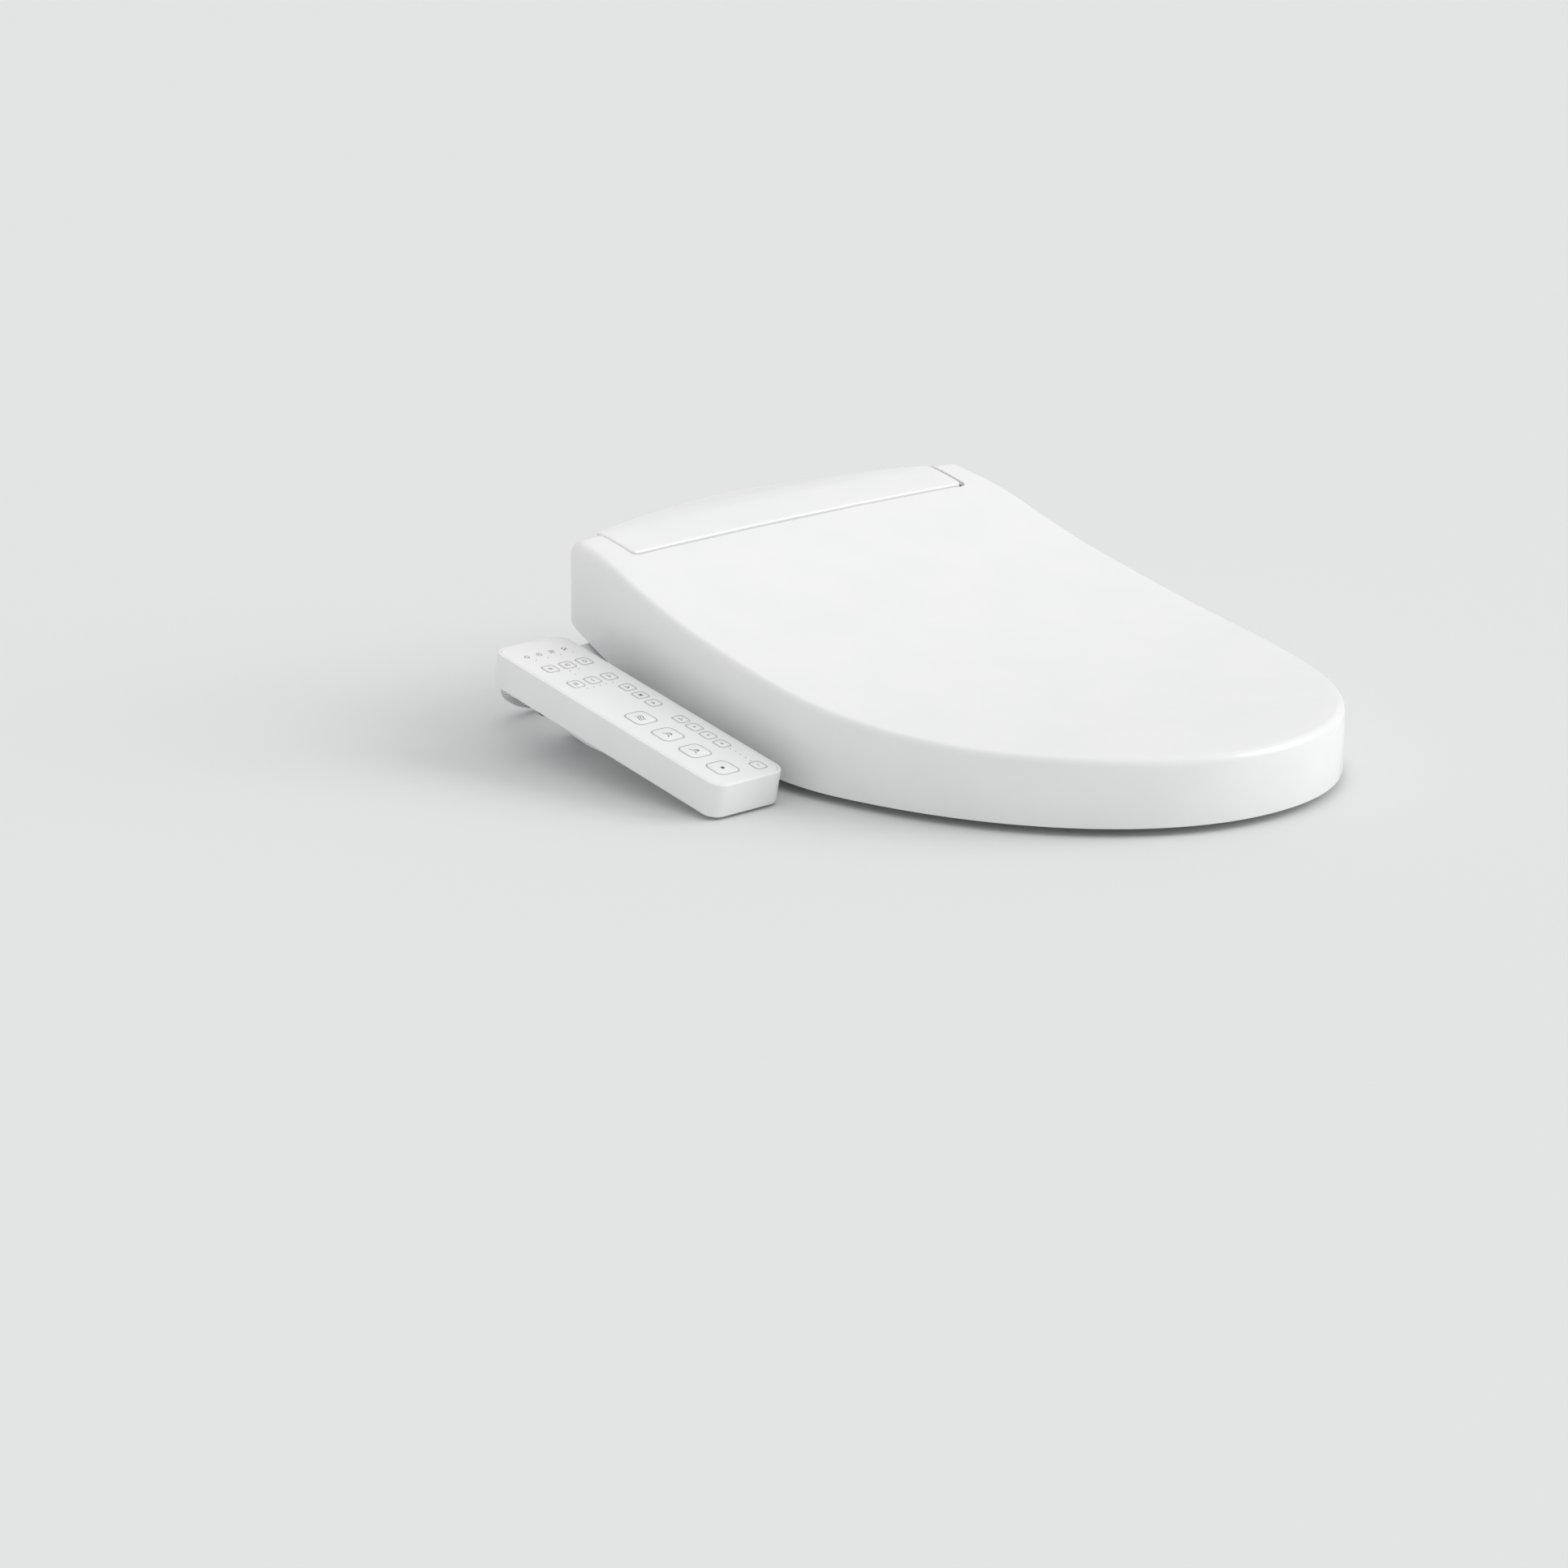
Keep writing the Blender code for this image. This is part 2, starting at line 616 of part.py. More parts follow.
def build_washing():
    along = wand_direction()
    rear = wand_point(WAND_LENGTH)
    tip = [(0.0, WAND_RADIUS - 0.001), (0.001, WAND_RADIUS), (WAND_LENGTH - 0.005, WAND_RADIUS),
           (WAND_LENGTH - 0.001, 0.0045), (WAND_LENGTH, 0.001)]
    turned("nozzle_wand", tip, rear, along, chrome(), 20)
    cradle = turned("wand_cradle", [(0.0, 0.0115), (0.088, 0.0115)], wand_point(0.112), along,
                    grey(), 16)
    cut(cradle, rod("cradle_bore", wand_point(0.1085), along, 0.12, WAND_RADIUS + 0.0006))
    rod("wand_motor", wand_point(0.090) + Vector((0.013, 0, 0)), (1, 0, 0), 0.022, 0.011, dark())
    tank = block("heater_tank", (0.042, -0.050, 0.0115), (0.128, 0.020, 0.068), dark())
    soften(tank, 0.004)
    valve = rod("inlet_valve", (-0.140, 0.010, 0.0235), (1, 0, 0), 0.034, 0.010, grey())
    join(valve, rod("valve_solenoid", (-0.122, 0.010, 0.0235), (0, 0, 1), 0.034, 0.009))
    fan = rod("dryer_fan", (-0.088, -0.012, 0.052), (1, 0, 0), 0.030, 0.027, dark(), 28)
    join(fan, block("fan_outlet", (-0.059, -0.0565, 0.0098), (-0.031, -0.010, 0.0222)),
         block("fan_throat", (-0.084, -0.034, 0.0125), (-0.034, -0.010, 0.048)))
    soften(fan, 0.001)
    flap = block("dryer_flap", (-0.0590, UNIT_FRONT_Y - 0.0022, 0.0100),
                 (-0.0310, UNIT_FRONT_Y - 0.0003, 0.0240), satin())
    set_origin(flap, (-0.045, UNIT_FRONT_Y - 0.0012, 0.0232))
    block("control_board", (-0.075, 0.020, 0.090), (0.075, 0.056, 0.0918),
          finish("board_green", (0.02, 0.15, 0.06), 0.4))


# ---- control arm -----------------------------------------------------------------------------
def arm_frame():
    """The arm's own frame: x across towards the lid, y to the rear, z square to its top."""
    frame = bpy.data.objects.get("arm_frame")
    if not frame:
        frame = bpy.data.objects.new("arm_frame", None)
        bpy.context.scene.collection.objects.link(frame)
        frame.location = ARM_CORNER
        frame.rotation_euler = (ARM_TILT, 0.0, 0.0)
    return frame


def on_arm(made):
    """Hang a shape drawn in the arm's frame on that frame."""
    made.parent = arm_frame()
    return made


def arm_prism(name, inset, low, high, material=None, radius=ARM_ROUND):
    outline = rounded(ARM_WIDTH / 2 - inset, ARM_LENGTH / 2 - inset, max(radius - inset, 0.003),
                      4, (0.0, -ARM_LENGTH / 2))
    return on_arm(prism(name, outline, low, high, material))


KEYS = {  # name: (x, y, half width across, half length along), in the arm's frame
    "key_stop": (-0.0073, -0.2073, 0.0091, 0.0089),
    "key_rear_wash": (-0.0073, -0.1803, 0.0091, 0.0089),
    "key_front_wash": (-0.0073, -0.1533, 0.0091, 0.0089),
    "key_dryer": (-0.0073, -0.1263, 0.0091, 0.0089),
    "key_pressure_down": (0.0172, -0.2146, 0.0048, 0.0052),
    "key_pressure_up": (0.0168, -0.1797, 0.0048, 0.0052),
    "key_position_front": (0.0168, -0.1659, 0.0048, 0.0052),
    "key_position_rear": (0.0168, -0.1525, 0.0048, 0.0052),
    "key_oscillate": (0.0165, -0.1393, 0.0048, 0.0052),
    "key_pulse": (0.0162, -0.1121, 0.0051, 0.0048),
    "key_soft_wash": (0.0162, -0.0989, 0.0051, 0.0048),
    "key_rinse": (0.0162, -0.0857, 0.0051, 0.0048),
    "key_power_save": (0.0160, -0.0410, 0.0052, 0.0050),
    "key_timer": (0.0014, -0.0410, 0.0052, 0.0050),
    "key_deodorise": (-0.0132, -0.0410, 0.0052, 0.0050),
    "key_seat_heat": (0.0160, -0.0670, 0.0052, 0.0050),
    "key_water_heat": (0.0014, -0.0670, 0.0052, 0.0050),
    "key_air_heat": (-0.0132, -0.0670, 0.0052, 0.0050),
}
KEY_GAP = 0.00035
KEY_FLOOR = -0.0044     # the switch floor below the face, in the arm's frame


def key_outline(place, grow=0.0):
    x, y, half_x, half_y = place
    radius = 0.0048 if half_x > 0.007 else 0.0026
    return rounded(half_x + grow, half_y + grow, radius + grow, 3, (x, y))


def build_control_arm():
    housing = arm_prism("arm_housing", 0.0, -ARM_DEPTH, 0.0, white())
    soften(housing, 0.0011, 2, angle=60)
    cut(housing,
        arm_prism("face_seat", FACE_INSET, -FACE_THICK - GAP, 0.01),
        arm_prism("switch_bay", FACE_INSET + 0.0025, KEY_FLOOR, 0.01),
        arm_prism("wiring_bay", 0.0030, -0.05, KEY_FLOOR - 0.0025))
    face = arm_prism("face_plate", FACE_INSET + GAP, -FACE_THICK, 0.0, satin())
    for name, place in KEYS.items():
        cut(face, on_arm(prism(name + "_window", key_outline(place, KEY_GAP), -0.01, 0.01)))
        key = prism(name, key_outline(place), KEY_FLOOR + KEY_TRAVEL + 0.0004, 0.0002, satin())
        set_origin(on_arm(key), (place[0], place[1], 0.0))
    # lower shell: closes the arm and bulges below its rear half
    base = on_arm(prism("arm_base", rounded(ARM_WIDTH / 2 - 0.0034, ARM_LENGTH / 2 - 0.0034, 0.006,
                                            4, (0.0, -ARM_LENGTH / 2)),
                        -ARM_DEPTH, -ARM_DEPTH + 0.0025, grey()))
    join(base, bulge())


BELLY_START = -0.0478    # the rounded belly under the arm, along the arm
BELLY_LENGTH = 0.077
BELLY_SAG = 0.0115


def bulge():
    """The rounded belly under the arm."""
    profile = []
    for i in range(13):
        t = i / 12
        profile.append((BELLY_START - BELLY_LENGTH * t,
                        -ARM_DEPTH - BELLY_SAG * math.sin(math.pi * t) ** 0.5))
    rings = []
    for x in (-0.0215, 0.0265):
        rings.append([(x, y, z) for y, z in profile]
                     + [(x, y, -ARM_DEPTH + 0.0012) for y, z in reversed(profile)])
    return on_arm(loft("belly", rings, None))


# ---- water inlet, hose and valve -------------------------------------------------------------
BLOCK_LOW = Vector((-0.238, -0.024, 0.0221))
BLOCK_HIGH = Vector((-0.2122, 0.014, 0.0381))
BLOCK_MIDDLE_Z = 0.0301
INLET = Vector((-0.225, 0.0144, BLOCK_MIDDLE_Z))
COUPLING_LENGTH = 0.022


def build_water_inlet():
    body = block("water_block", BLOCK_LOW, BLOCK_HIGH, grey())
    soften(body, 0.0012)
    for n, y in enumerate((-0.0165, 0.0035), 1):
        cap = turned(f"drain_cap_{n}", [(0.0, 0.0070), (0.0030, 0.0070), (0.0036, 0.0064)],
                     (BLOCK_LOW.x - GAP, y, BLOCK_MIDDLE_Z), (-1, 0, 0), dark(), 20)
        for size in ((0.0006, 0.0050), (0.0050, 0.0006)):
            cut(cap, block("cap_slot", (BLOCK_LOW.x - 0.01, y - size[0], BLOCK_MIDDLE_Z - size[1]),
                           (BLOCK_LOW.x - 0.0026, y + size[0], BLOCK_MIDDLE_Z + size[1])))
    profile = [(0.0, 0.0050), (0.003, 0.0050), (0.003, 0.0078), (0.011, 0.0078),
               (0.011, 0.0070), (COUPLING_LENGTH, 0.0070)]
    turned("inlet_coupling", profile, INLET, (0, 1, 0), chrome(), 12)
    tube("water_hose", smooth_path(hose_route(), 56), HOSE_RADIUS, satin())


def hose_route():
    """Points on the middle of the hose: one round bend down to the floor, then a loose wave."""
    mouth = INLET + Vector((0.0, COUPLING_LENGTH + GAP, 0.0))
    start, bend = mouth + Vector((0.0, 0.006, 0.0)), 0.040
    points = [mouth, mouth.lerp(start, 0.5), start]
    for i in range(1, 5):
        turn = math.pi / 2 * i / 4
        drop = (start.z - HOSE_REST_Z) * (0.5 - 0.5 * math.cos(math.pi * min(i / 5, 1.0)))
        points.append(start + Vector((bend - bend * math.cos(turn), bend * math.sin(turn), -drop)))
    first, last_y = points[-1], INLET.y + COUPLING_LENGTH + bend + 0.013
    for i in range(1, 8):
        x = first.x + (HOSE_END_X - 0.075 - first.x) * i / 7
        wave = HOSE_WAVE * math.sin(math.pi * i / 3.5) ** 2 * (1 if i > 3 else -0.6)
        points.append(Vector((x, first.y + (last_y - first.y) * min(i / 2, 1.0) + wave,
                              HOSE_REST_Z)))
    for back, share in ((0.05, 0.25), (0.025, 0.8), (0.010, 1.0), (0.0, 1.0)):
        points.append(Vector((HOSE_END_X - back, last_y,
                              HOSE_REST_Z + (HOSE_END_Z - HOSE_REST_Z) * share)))
    return points


def build_junction_valve():
    """The branch valve at the hose's far end, lying on its side behind the unit."""
    end = hose_route()[-1]
    start = end + Vector((GAP, 0.0, 0.0))
    nut = turned("branch_nut", [(0.0, 0.0130), (0.004, 0.0145), (0.026, 0.0155), (0.030, 0.0155)],
                 start, (1, 0, 0), finish("cream_plastic", (0.8, 0.77, 0.66), 0.5), 24)
    soften(nut, 0.0005)
    valve = start + Vector((0.030 + GAP, 0.0, 0.0))
    body = rod("junction_valve", valve, (1, 0, 0), 0.012, 0.0115, dark(), 20)
    run = [(0.0, 0.0095), (0.014, 0.0095), (0.014, 0.0118), (0.046, 0.0118), (0.046, 0.0095),
           (0.060, 0.0095)]
    join(body, turned("valve_run", run, valve + Vector((0.012, -0.030, 0.0)), (0, 1, 0), None, 6))


# ---- mains lead ------------------------------------------------------------------------------
def build_mains_lead():
    turned("strain_relief", [(0.0, 0.0060), (0.004, 0.0060), (0.024, 0.0040), (0.026, 0.0040)],
           LEAD_EXIT, (0, 1, 0), satin(), 16)
    start = LEAD_EXIT + Vector((0.0, 0.026 + 2 * GAP, 0.0))
    drop = start.z - 0.0095
    lead = [start + Vector((0.0, 0.022 * t, -drop * (3 * t * t - 2 * t**3) * 0.8))
            for t in (0.0, 0.25, 0.5, 0.75, 1.0)]
    tube("mains_lead", smooth_path(lead, 6), CORD_RADIUS, satin())
    outer, low, high = COIL_RADIUS + COIL_BAND / 2, 0.0003, 0.0203
    inner, corner = COIL_RADIUS - COIL_BAND / 2, 0.003
    section = [(outer, low + corner), (outer, high - corner), (outer - corner, high),
               (inner + corner, high), (inner, high - corner), (inner, low + corner),
               (inner + corner, low), (outer - corner, low)]
    rings = []
    for i in range(36):
        turn = 2 * math.pi * i / 36
        rings.append([(radius * math.cos(turn), radius * math.sin(turn), z)
                      for radius, z in section])
    coil = loft("mains_coil", rings, satin(), closed_loop=True)
    coil.location = COIL_MIDDLE
    reach = math.sqrt(outer**2 - (COIL_RADIUS - CORD_RADIUS) ** 2)
    tail_start = COIL_MIDDLE + Vector((reach + 0.0008, COIL_RADIUS, 0.0164))
    tail_end = Vector((tail_start.x + 0.018, tail_start.y, PLUG_Z))
    tube("mains_tail", smooth_path([tail_start, tail_start.lerp(tail_end, 0.5), tail_end], 4),
         CORD_RADIUS, satin())
    plug_start = tail_end + Vector((2 * GAP, 0.0, 0.0))
    plug = turned("mains_plug", [(0.0, 0.0045), (0.014, 0.0060), (0.022, 0.0130), (0.027, 0.0183),
                                 (0.048, 0.0183)], plug_start, (1, 0, 0), satin(), 24)
    for sign in (1, -1):
        join(plug, rod("plug_pin", plug_start + Vector((0.045, sign * 0.0095, 0.0)), (1, 0, 0),
                       0.022, 0.0024, None, 10))


def main():
    for old in list(bpy.data.objects):
        bpy.data.objects.remove(old)
    build_base_plate()
    build_lower_casing()
    build_upper_casing()
    build_top_plate()
    mirrored(build_hinge)
    build_lid()
    build_seat()
    build_washing()
    build_control_arm()
    build_water_inlet()
    build_junction_valve()
    build_mains_lead()


main()
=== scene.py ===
"""The looks of an electric bidet seat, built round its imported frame.

Every length is in metres, with +Z up, the seat's front towards -Y and the control arm at -X.
Each sub-assembly is a class that holds its own sizes, builds its fine meshes and dresses them.
"""
import json
import logging
import math
from collections.abc import Callable, Sequence
from dataclasses import dataclass
from enum import Enum
from typing import Any

import bmesh
import bpy
from mathutils import Matrix, Vector

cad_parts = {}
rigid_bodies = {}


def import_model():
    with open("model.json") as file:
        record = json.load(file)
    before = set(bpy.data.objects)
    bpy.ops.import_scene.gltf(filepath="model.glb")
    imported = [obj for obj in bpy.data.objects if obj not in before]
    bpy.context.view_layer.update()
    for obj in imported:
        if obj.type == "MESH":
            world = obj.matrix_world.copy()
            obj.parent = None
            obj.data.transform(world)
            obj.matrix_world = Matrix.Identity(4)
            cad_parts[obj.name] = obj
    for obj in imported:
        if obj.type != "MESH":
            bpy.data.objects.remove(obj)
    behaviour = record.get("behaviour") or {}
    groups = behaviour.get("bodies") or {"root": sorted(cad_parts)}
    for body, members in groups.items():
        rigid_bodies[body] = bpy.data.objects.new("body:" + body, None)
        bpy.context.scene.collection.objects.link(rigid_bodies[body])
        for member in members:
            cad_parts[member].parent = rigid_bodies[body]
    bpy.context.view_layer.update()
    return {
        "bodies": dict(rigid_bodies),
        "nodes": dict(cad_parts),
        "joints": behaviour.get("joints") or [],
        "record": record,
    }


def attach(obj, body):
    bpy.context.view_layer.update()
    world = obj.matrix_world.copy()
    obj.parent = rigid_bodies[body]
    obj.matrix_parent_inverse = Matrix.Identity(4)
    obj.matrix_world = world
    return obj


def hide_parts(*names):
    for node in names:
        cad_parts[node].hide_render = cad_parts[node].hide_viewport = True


LOG = logging.getLogger("bidet_seat")
MM = 0.001
Point = tuple[float, float, float]
Plan = list[tuple[float, float]]
Ring = list[Point]


# ---- colours and nodes -----------------------------------------------------------------------
def linear(colour: str) -> tuple[float, float, float, float]:
    """Turn an sRGB hex colour into a linear one.

    Args:
        colour: six hex digits after a hash sign.

    Returns:
        Red, green, blue and alpha, in linear light.
    """
    parts = [int(colour[i:i + 2], 16) / 255 for i in (1, 3, 5)]
    red, green, blue = (p / 12.92 if p <= 0.04045 else ((p + 0.055) / 1.055) ** 2.4 for p in parts)
    return red, green, blue, 1.0


def add_node(tree: bpy.types.NodeTree, kind: str, settings: dict[str, Any] | None = None,
             **links: Any) -> bpy.types.Node:
    """Add one node with its settings and its links.

    Args:
        tree: the material's node tree.
        kind: the node's type name.
        settings: attribute or input names, with their values; an input is named in brackets.
        links: input names, with spaces as underscores, and the sockets or values that feed them.

    Returns:
        The new node.
    """
    node = tree.nodes.new(kind)
    for name, value in (settings or {}).items():
        if name.startswith("["):
            key = name[1:-1]
            node.inputs[int(key) if key.isdigit() else key].default_value = value
        else:
            setattr(node, name, value)
    for name, source in links.items():
        key = name.replace("_", " ").strip()
        tree.links.new(source, node.inputs[int(key) if key.isdigit() else key])
    return node


class Surface(Enum):
    """How a plastic part's mould was finished."""

    POLISHED = "polished"
    SPARKED = "sparked"


@dataclass(frozen=True)
class Finish:
    """A finish: what its surface is and how it was made."""

    name: str
    colour: str
    roughness: float

    def make(self) -> bpy.types.Material:
        """Make the material, or find it if it is made already.

        Returns:
            The material.
        """
        found = bpy.data.materials.get(self.name)
        if found:
            return found
        material = bpy.data.materials.new(self.name)
        material.use_nodes = True
        tree = material.node_tree
        shader = tree.nodes["Principled BSDF"]
        shader.inputs["Base Color"].default_value = linear(self.colour)
        shader.inputs["Roughness"].default_value = self.roughness
        material.diffuse_color = linear(self.colour)
        self.dress(tree, shader)
        return material

    def dress(self, tree: bpy.types.NodeTree, shader: bpy.types.Node) -> None:
        """Add the finish's own texture; a plain finish has none."""

    @staticmethod
    def grain(tree: bpy.types.NodeTree, size_mm: float, detail: float = 2.0) -> bpy.types.Node:
        """Add a noise whose lumps have a real size.

        Args:
            tree: the material's node tree.
            size_mm: how far apart the lumps are.
            detail: how many finer layers it has.

        Returns:
            The noise node.
        """
        place = add_node(tree, "ShaderNodeTexCoord")
        return add_node(tree, "ShaderNodeTexNoise",
                        {"[Scale]": 1000.0 / size_mm, "[Detail]": detail},
                        Vector=place.outputs["Object"])

    @staticmethod
    def tint(tree: bpy.types.NodeTree, shader: bpy.types.Node, source: Any, low: str,
             high: str) -> None:
        """Colour the shader between two tones by a factor."""
        ramp = add_node(tree, "ShaderNodeValToRGB", None, Fac=source)
        ramp.color_ramp.elements[0].position = 0.35
        ramp.color_ramp.elements[1].position = 0.65
        ramp.color_ramp.elements[0].color = linear(low)
        ramp.color_ramp.elements[1].color = linear(high)
        tree.links.new(ramp.outputs["Color"], shader.inputs["Base Color"])

    @staticmethod
    def polish(tree: bpy.types.NodeTree, shader: bpy.types.Node, source: Any, low: float,
               high: float) -> None:
        """Vary the shader's roughness between two values by a factor."""
        spread = add_node(tree, "ShaderNodeMapRange",
                          {"[From Min]": 0.3, "[From Max]": 0.7, "[To Min]": low, "[To Max]": high},
                          Value=source)
        tree.links.new(spread.outputs["Result"], shader.inputs["Roughness"])

    @staticmethod
    def emboss(tree: bpy.types.NodeTree, shader: bpy.types.Node, height: Any,
               depth_mm: float, strength: float = 1.0) -> None:
        """Raise the surface by a height that is given from 0 to 1."""
        bump = add_node(tree, "ShaderNodeBump",
                        {"[Strength]": strength, "[Distance]": depth_mm * MM}, Height=height)
        tree.links.new(bump.outputs["Normal"], shader.inputs["Normal"])


@dataclass(frozen=True)
class MouldedPlastic(Finish):
    """Injection-moulded ABS or the like: glossy from a polished mould, satin from a sparked one."""

    surface: Surface = Surface.SPARKED
    shade: str = ""

    def dress(self, tree: bpy.types.NodeTree, shader: bpy.types.Node) -> None:
        """Give a polished part its faint moulding waves, and a satin one its fine spark grain."""
        shader.inputs["IOR"].default_value = 1.49
        if self.surface is Surface.POLISHED:
            # a thick glossy moulding has slow waves some 30 mm long that only reflections show
            wave = self.grain(tree, 30.0, 1.0)
            self.emboss(tree, shader, wave.outputs["Fac"], 0.05, 0.35)
            self.polish(tree, shader, self.grain(tree, 9.0).outputs["Fac"],
                        self.roughness * 0.85, self.roughness * 1.15)
        else:
            # spark grain is about 0.1 mm; drawn at 0.5 mm so that it shows
            grit = self.grain(tree, 0.5)
            self.emboss(tree, shader, grit.outputs["Fac"], 0.03, 0.4)
            self.polish(tree, shader, self.grain(tree, 14.0).outputs["Fac"],
                        self.roughness * 0.9, self.roughness * 1.1)
        if self.shade:
            self.tint(tree, shader, self.grain(tree, 45.0).outputs["Fac"], self.shade, self.colour)


@dataclass(frozen=True)
class SiliconeRubber(Finish):
    """Moulded silicone: dull, with a soft sheen and a slightly mottled colour."""

    shade: str = "#b4b5b6"

    def dress(self, tree: bpy.types.NodeTree, shader: bpy.types.Node) -> None:
        """Give it its mottled colour and its dull grain."""
        shader.inputs["IOR"].default_value = 1.42
        grit = self.grain(tree, 0.6)
        self.tint(tree, shader, self.grain(tree, 5.0).outputs["Fac"], self.shade, self.colour)
        self.emboss(tree, shader, grit.outputs["Fac"], 0.05, 0.5)


@dataclass(frozen=True)
class PlatedBrass(Finish):
    """Nickel-chromium plate on turned brass: a bright mirror with faint tool marks."""

    def dress(self, tree: bpy.types.NodeTree, shader: bpy.types.Node) -> None:
        """Make it a metal, with roughness that changes a little over the surface."""
        shader.inputs["Metallic"].default_value = 1.0
        self.polish(tree, shader, self.grain(tree, 3.0).outputs["Fac"],
                    self.roughness * 0.7, self.roughness * 1.5)


@dataclass(frozen=True)
class WovenBraid(Finish):
    """A sleeve of braided white polyester strands, which cross at a slant round the hose."""

    # the darker grey that the weave's low points are tinted: painted shade between the strands
    shade: str = "#a9abad"
    strands: int = 12
    pitch_mm: float = 9.0

    def dress(self, tree: bpy.types.NodeTree, shader: bpy.types.Node) -> None:
        """Draw the crossing strands from the tube's own map: once round, and metres along it."""
        shader.inputs["IOR"].default_value = 1.5
        place = add_node(tree, "ShaderNodeTexCoord")
        split = add_node(tree, "ShaderNodeSeparateXYZ", None, Vector=place.outputs["UV"])
        round_turn = add_node(tree, "ShaderNodeMath",
                              {"operation": "MULTIPLY", "[1]": 2 * math.pi * self.strands},
                              _0=split.outputs["X"])
        along_turn = add_node(tree, "ShaderNodeMath",
                              {"operation": "MULTIPLY", "[1]": 2 * math.pi / (self.pitch_mm * MM)},
                              _0=split.outputs["Y"])
        waves = []
        for slant in ("ADD", "SUBTRACT"):
            phase = add_node(tree, "ShaderNodeMath", {"operation": slant},
                             _0=round_turn.outputs[0], _1=along_turn.outputs[0])
            waves.append(add_node(tree, "ShaderNodeMath", {"operation": "SINE"},
                                  _0=phase.outputs[0]))
        strand = add_node(tree, "ShaderNodeMath", {"operation": "MULTIPLY"},
                          _0=waves[0].outputs[0], _1=waves[1].outputs[0])
        height = add_node(tree, "ShaderNodeMapRange", {"[From Min]": -1.0, "[From Max]": 1.0},
                          Value=strand.outputs[0])
        # painted shade: the low points of the weave, where strands pass under each other, take the
        # darker grey
        self.tint(tree, shader, height.outputs["Result"], self.shade, self.colour)
        self.emboss(tree, shader, height.outputs["Result"], 0.5, 0.8)


@dataclass(frozen=True)
class CircuitBoard(Finish):
    """Green lacquered glass-fibre board, with darker tracks under the lacquer."""

    def dress(self, tree: bpy.types.NodeTree, shader: bpy.types.Node) -> None:
        """Draw its tracks 2.5 mm apart."""
        place = add_node(tree, "ShaderNodeTexCoord")
        track = add_node(tree, "ShaderNodeTexBrick",
                         {"[Scale]": 400.0, "[Mortar Size]": 0.06, "[Color1]": linear("#1d5c38"),
                          "[Color2]": linear("#236b41"), "[Mortar]": linear("#123f26")},
                         Vector=place.outputs["Object"])
        tree.links.new(track.outputs["Color"], shader.inputs["Base Color"])


GLOSS_WHITE = MouldedPlastic("gloss_white_abs", "#f7f7f7", 0.16, Surface.POLISHED, "#f4f5f5")
PANEL_WHITE = MouldedPlastic("panel_white_abs", "#f7f7f7", 0.38, Surface.SPARKED, "#f4f5f5")
KEY_WHITE = MouldedPlastic("key_white_abs", "#f7f7f7", 0.32, Surface.SPARKED)
SATIN_WHITE = MouldedPlastic("satin_white_abs", "#ecedee", 0.42, Surface.SPARKED, "#e8e9ea")
LIGHT_GREY = MouldedPlastic("light_grey_abs", "#c3c5c7", 0.45, Surface.SPARKED, "#bcbec1")
DARK_GREY = MouldedPlastic("dark_grey_nylon", "#3a3c3f", 0.5, Surface.SPARKED, "#323437")
CREAM = MouldedPlastic("cream_acetal", "#e6dfc8", 0.45, Surface.SPARKED, "#ded6bc")
CORD_WHITE = MouldedPlastic("cord_white_pvc", "#e9e9e7", 0.36, Surface.SPARKED)
INK = MouldedPlastic("key_print_ink", "#505356", 0.5, Surface.SPARKED)
# painted shade: the mid-grey of the thin line round each key that stands in for the dark gap to its
# window
GAP_SHADE_INK = MouldedPlastic("painted_gap_shade", "#85898d", 0.5, Surface.SPARKED)
LAMP = MouldedPlastic("lamp_window", "#8e9397", 0.25, Surface.POLISHED)
RUBBER = SiliconeRubber("grey_silicone", "#c0c1c2", 0.7)
CHROME = PlatedBrass("chrome_on_brass", "#d7d9dc", 0.12)
BRAID = WovenBraid("white_polyester_braid", "#eceded", 0.6)
BOARD = CircuitBoard("green_circuit_board", "#205f3b", 0.35)


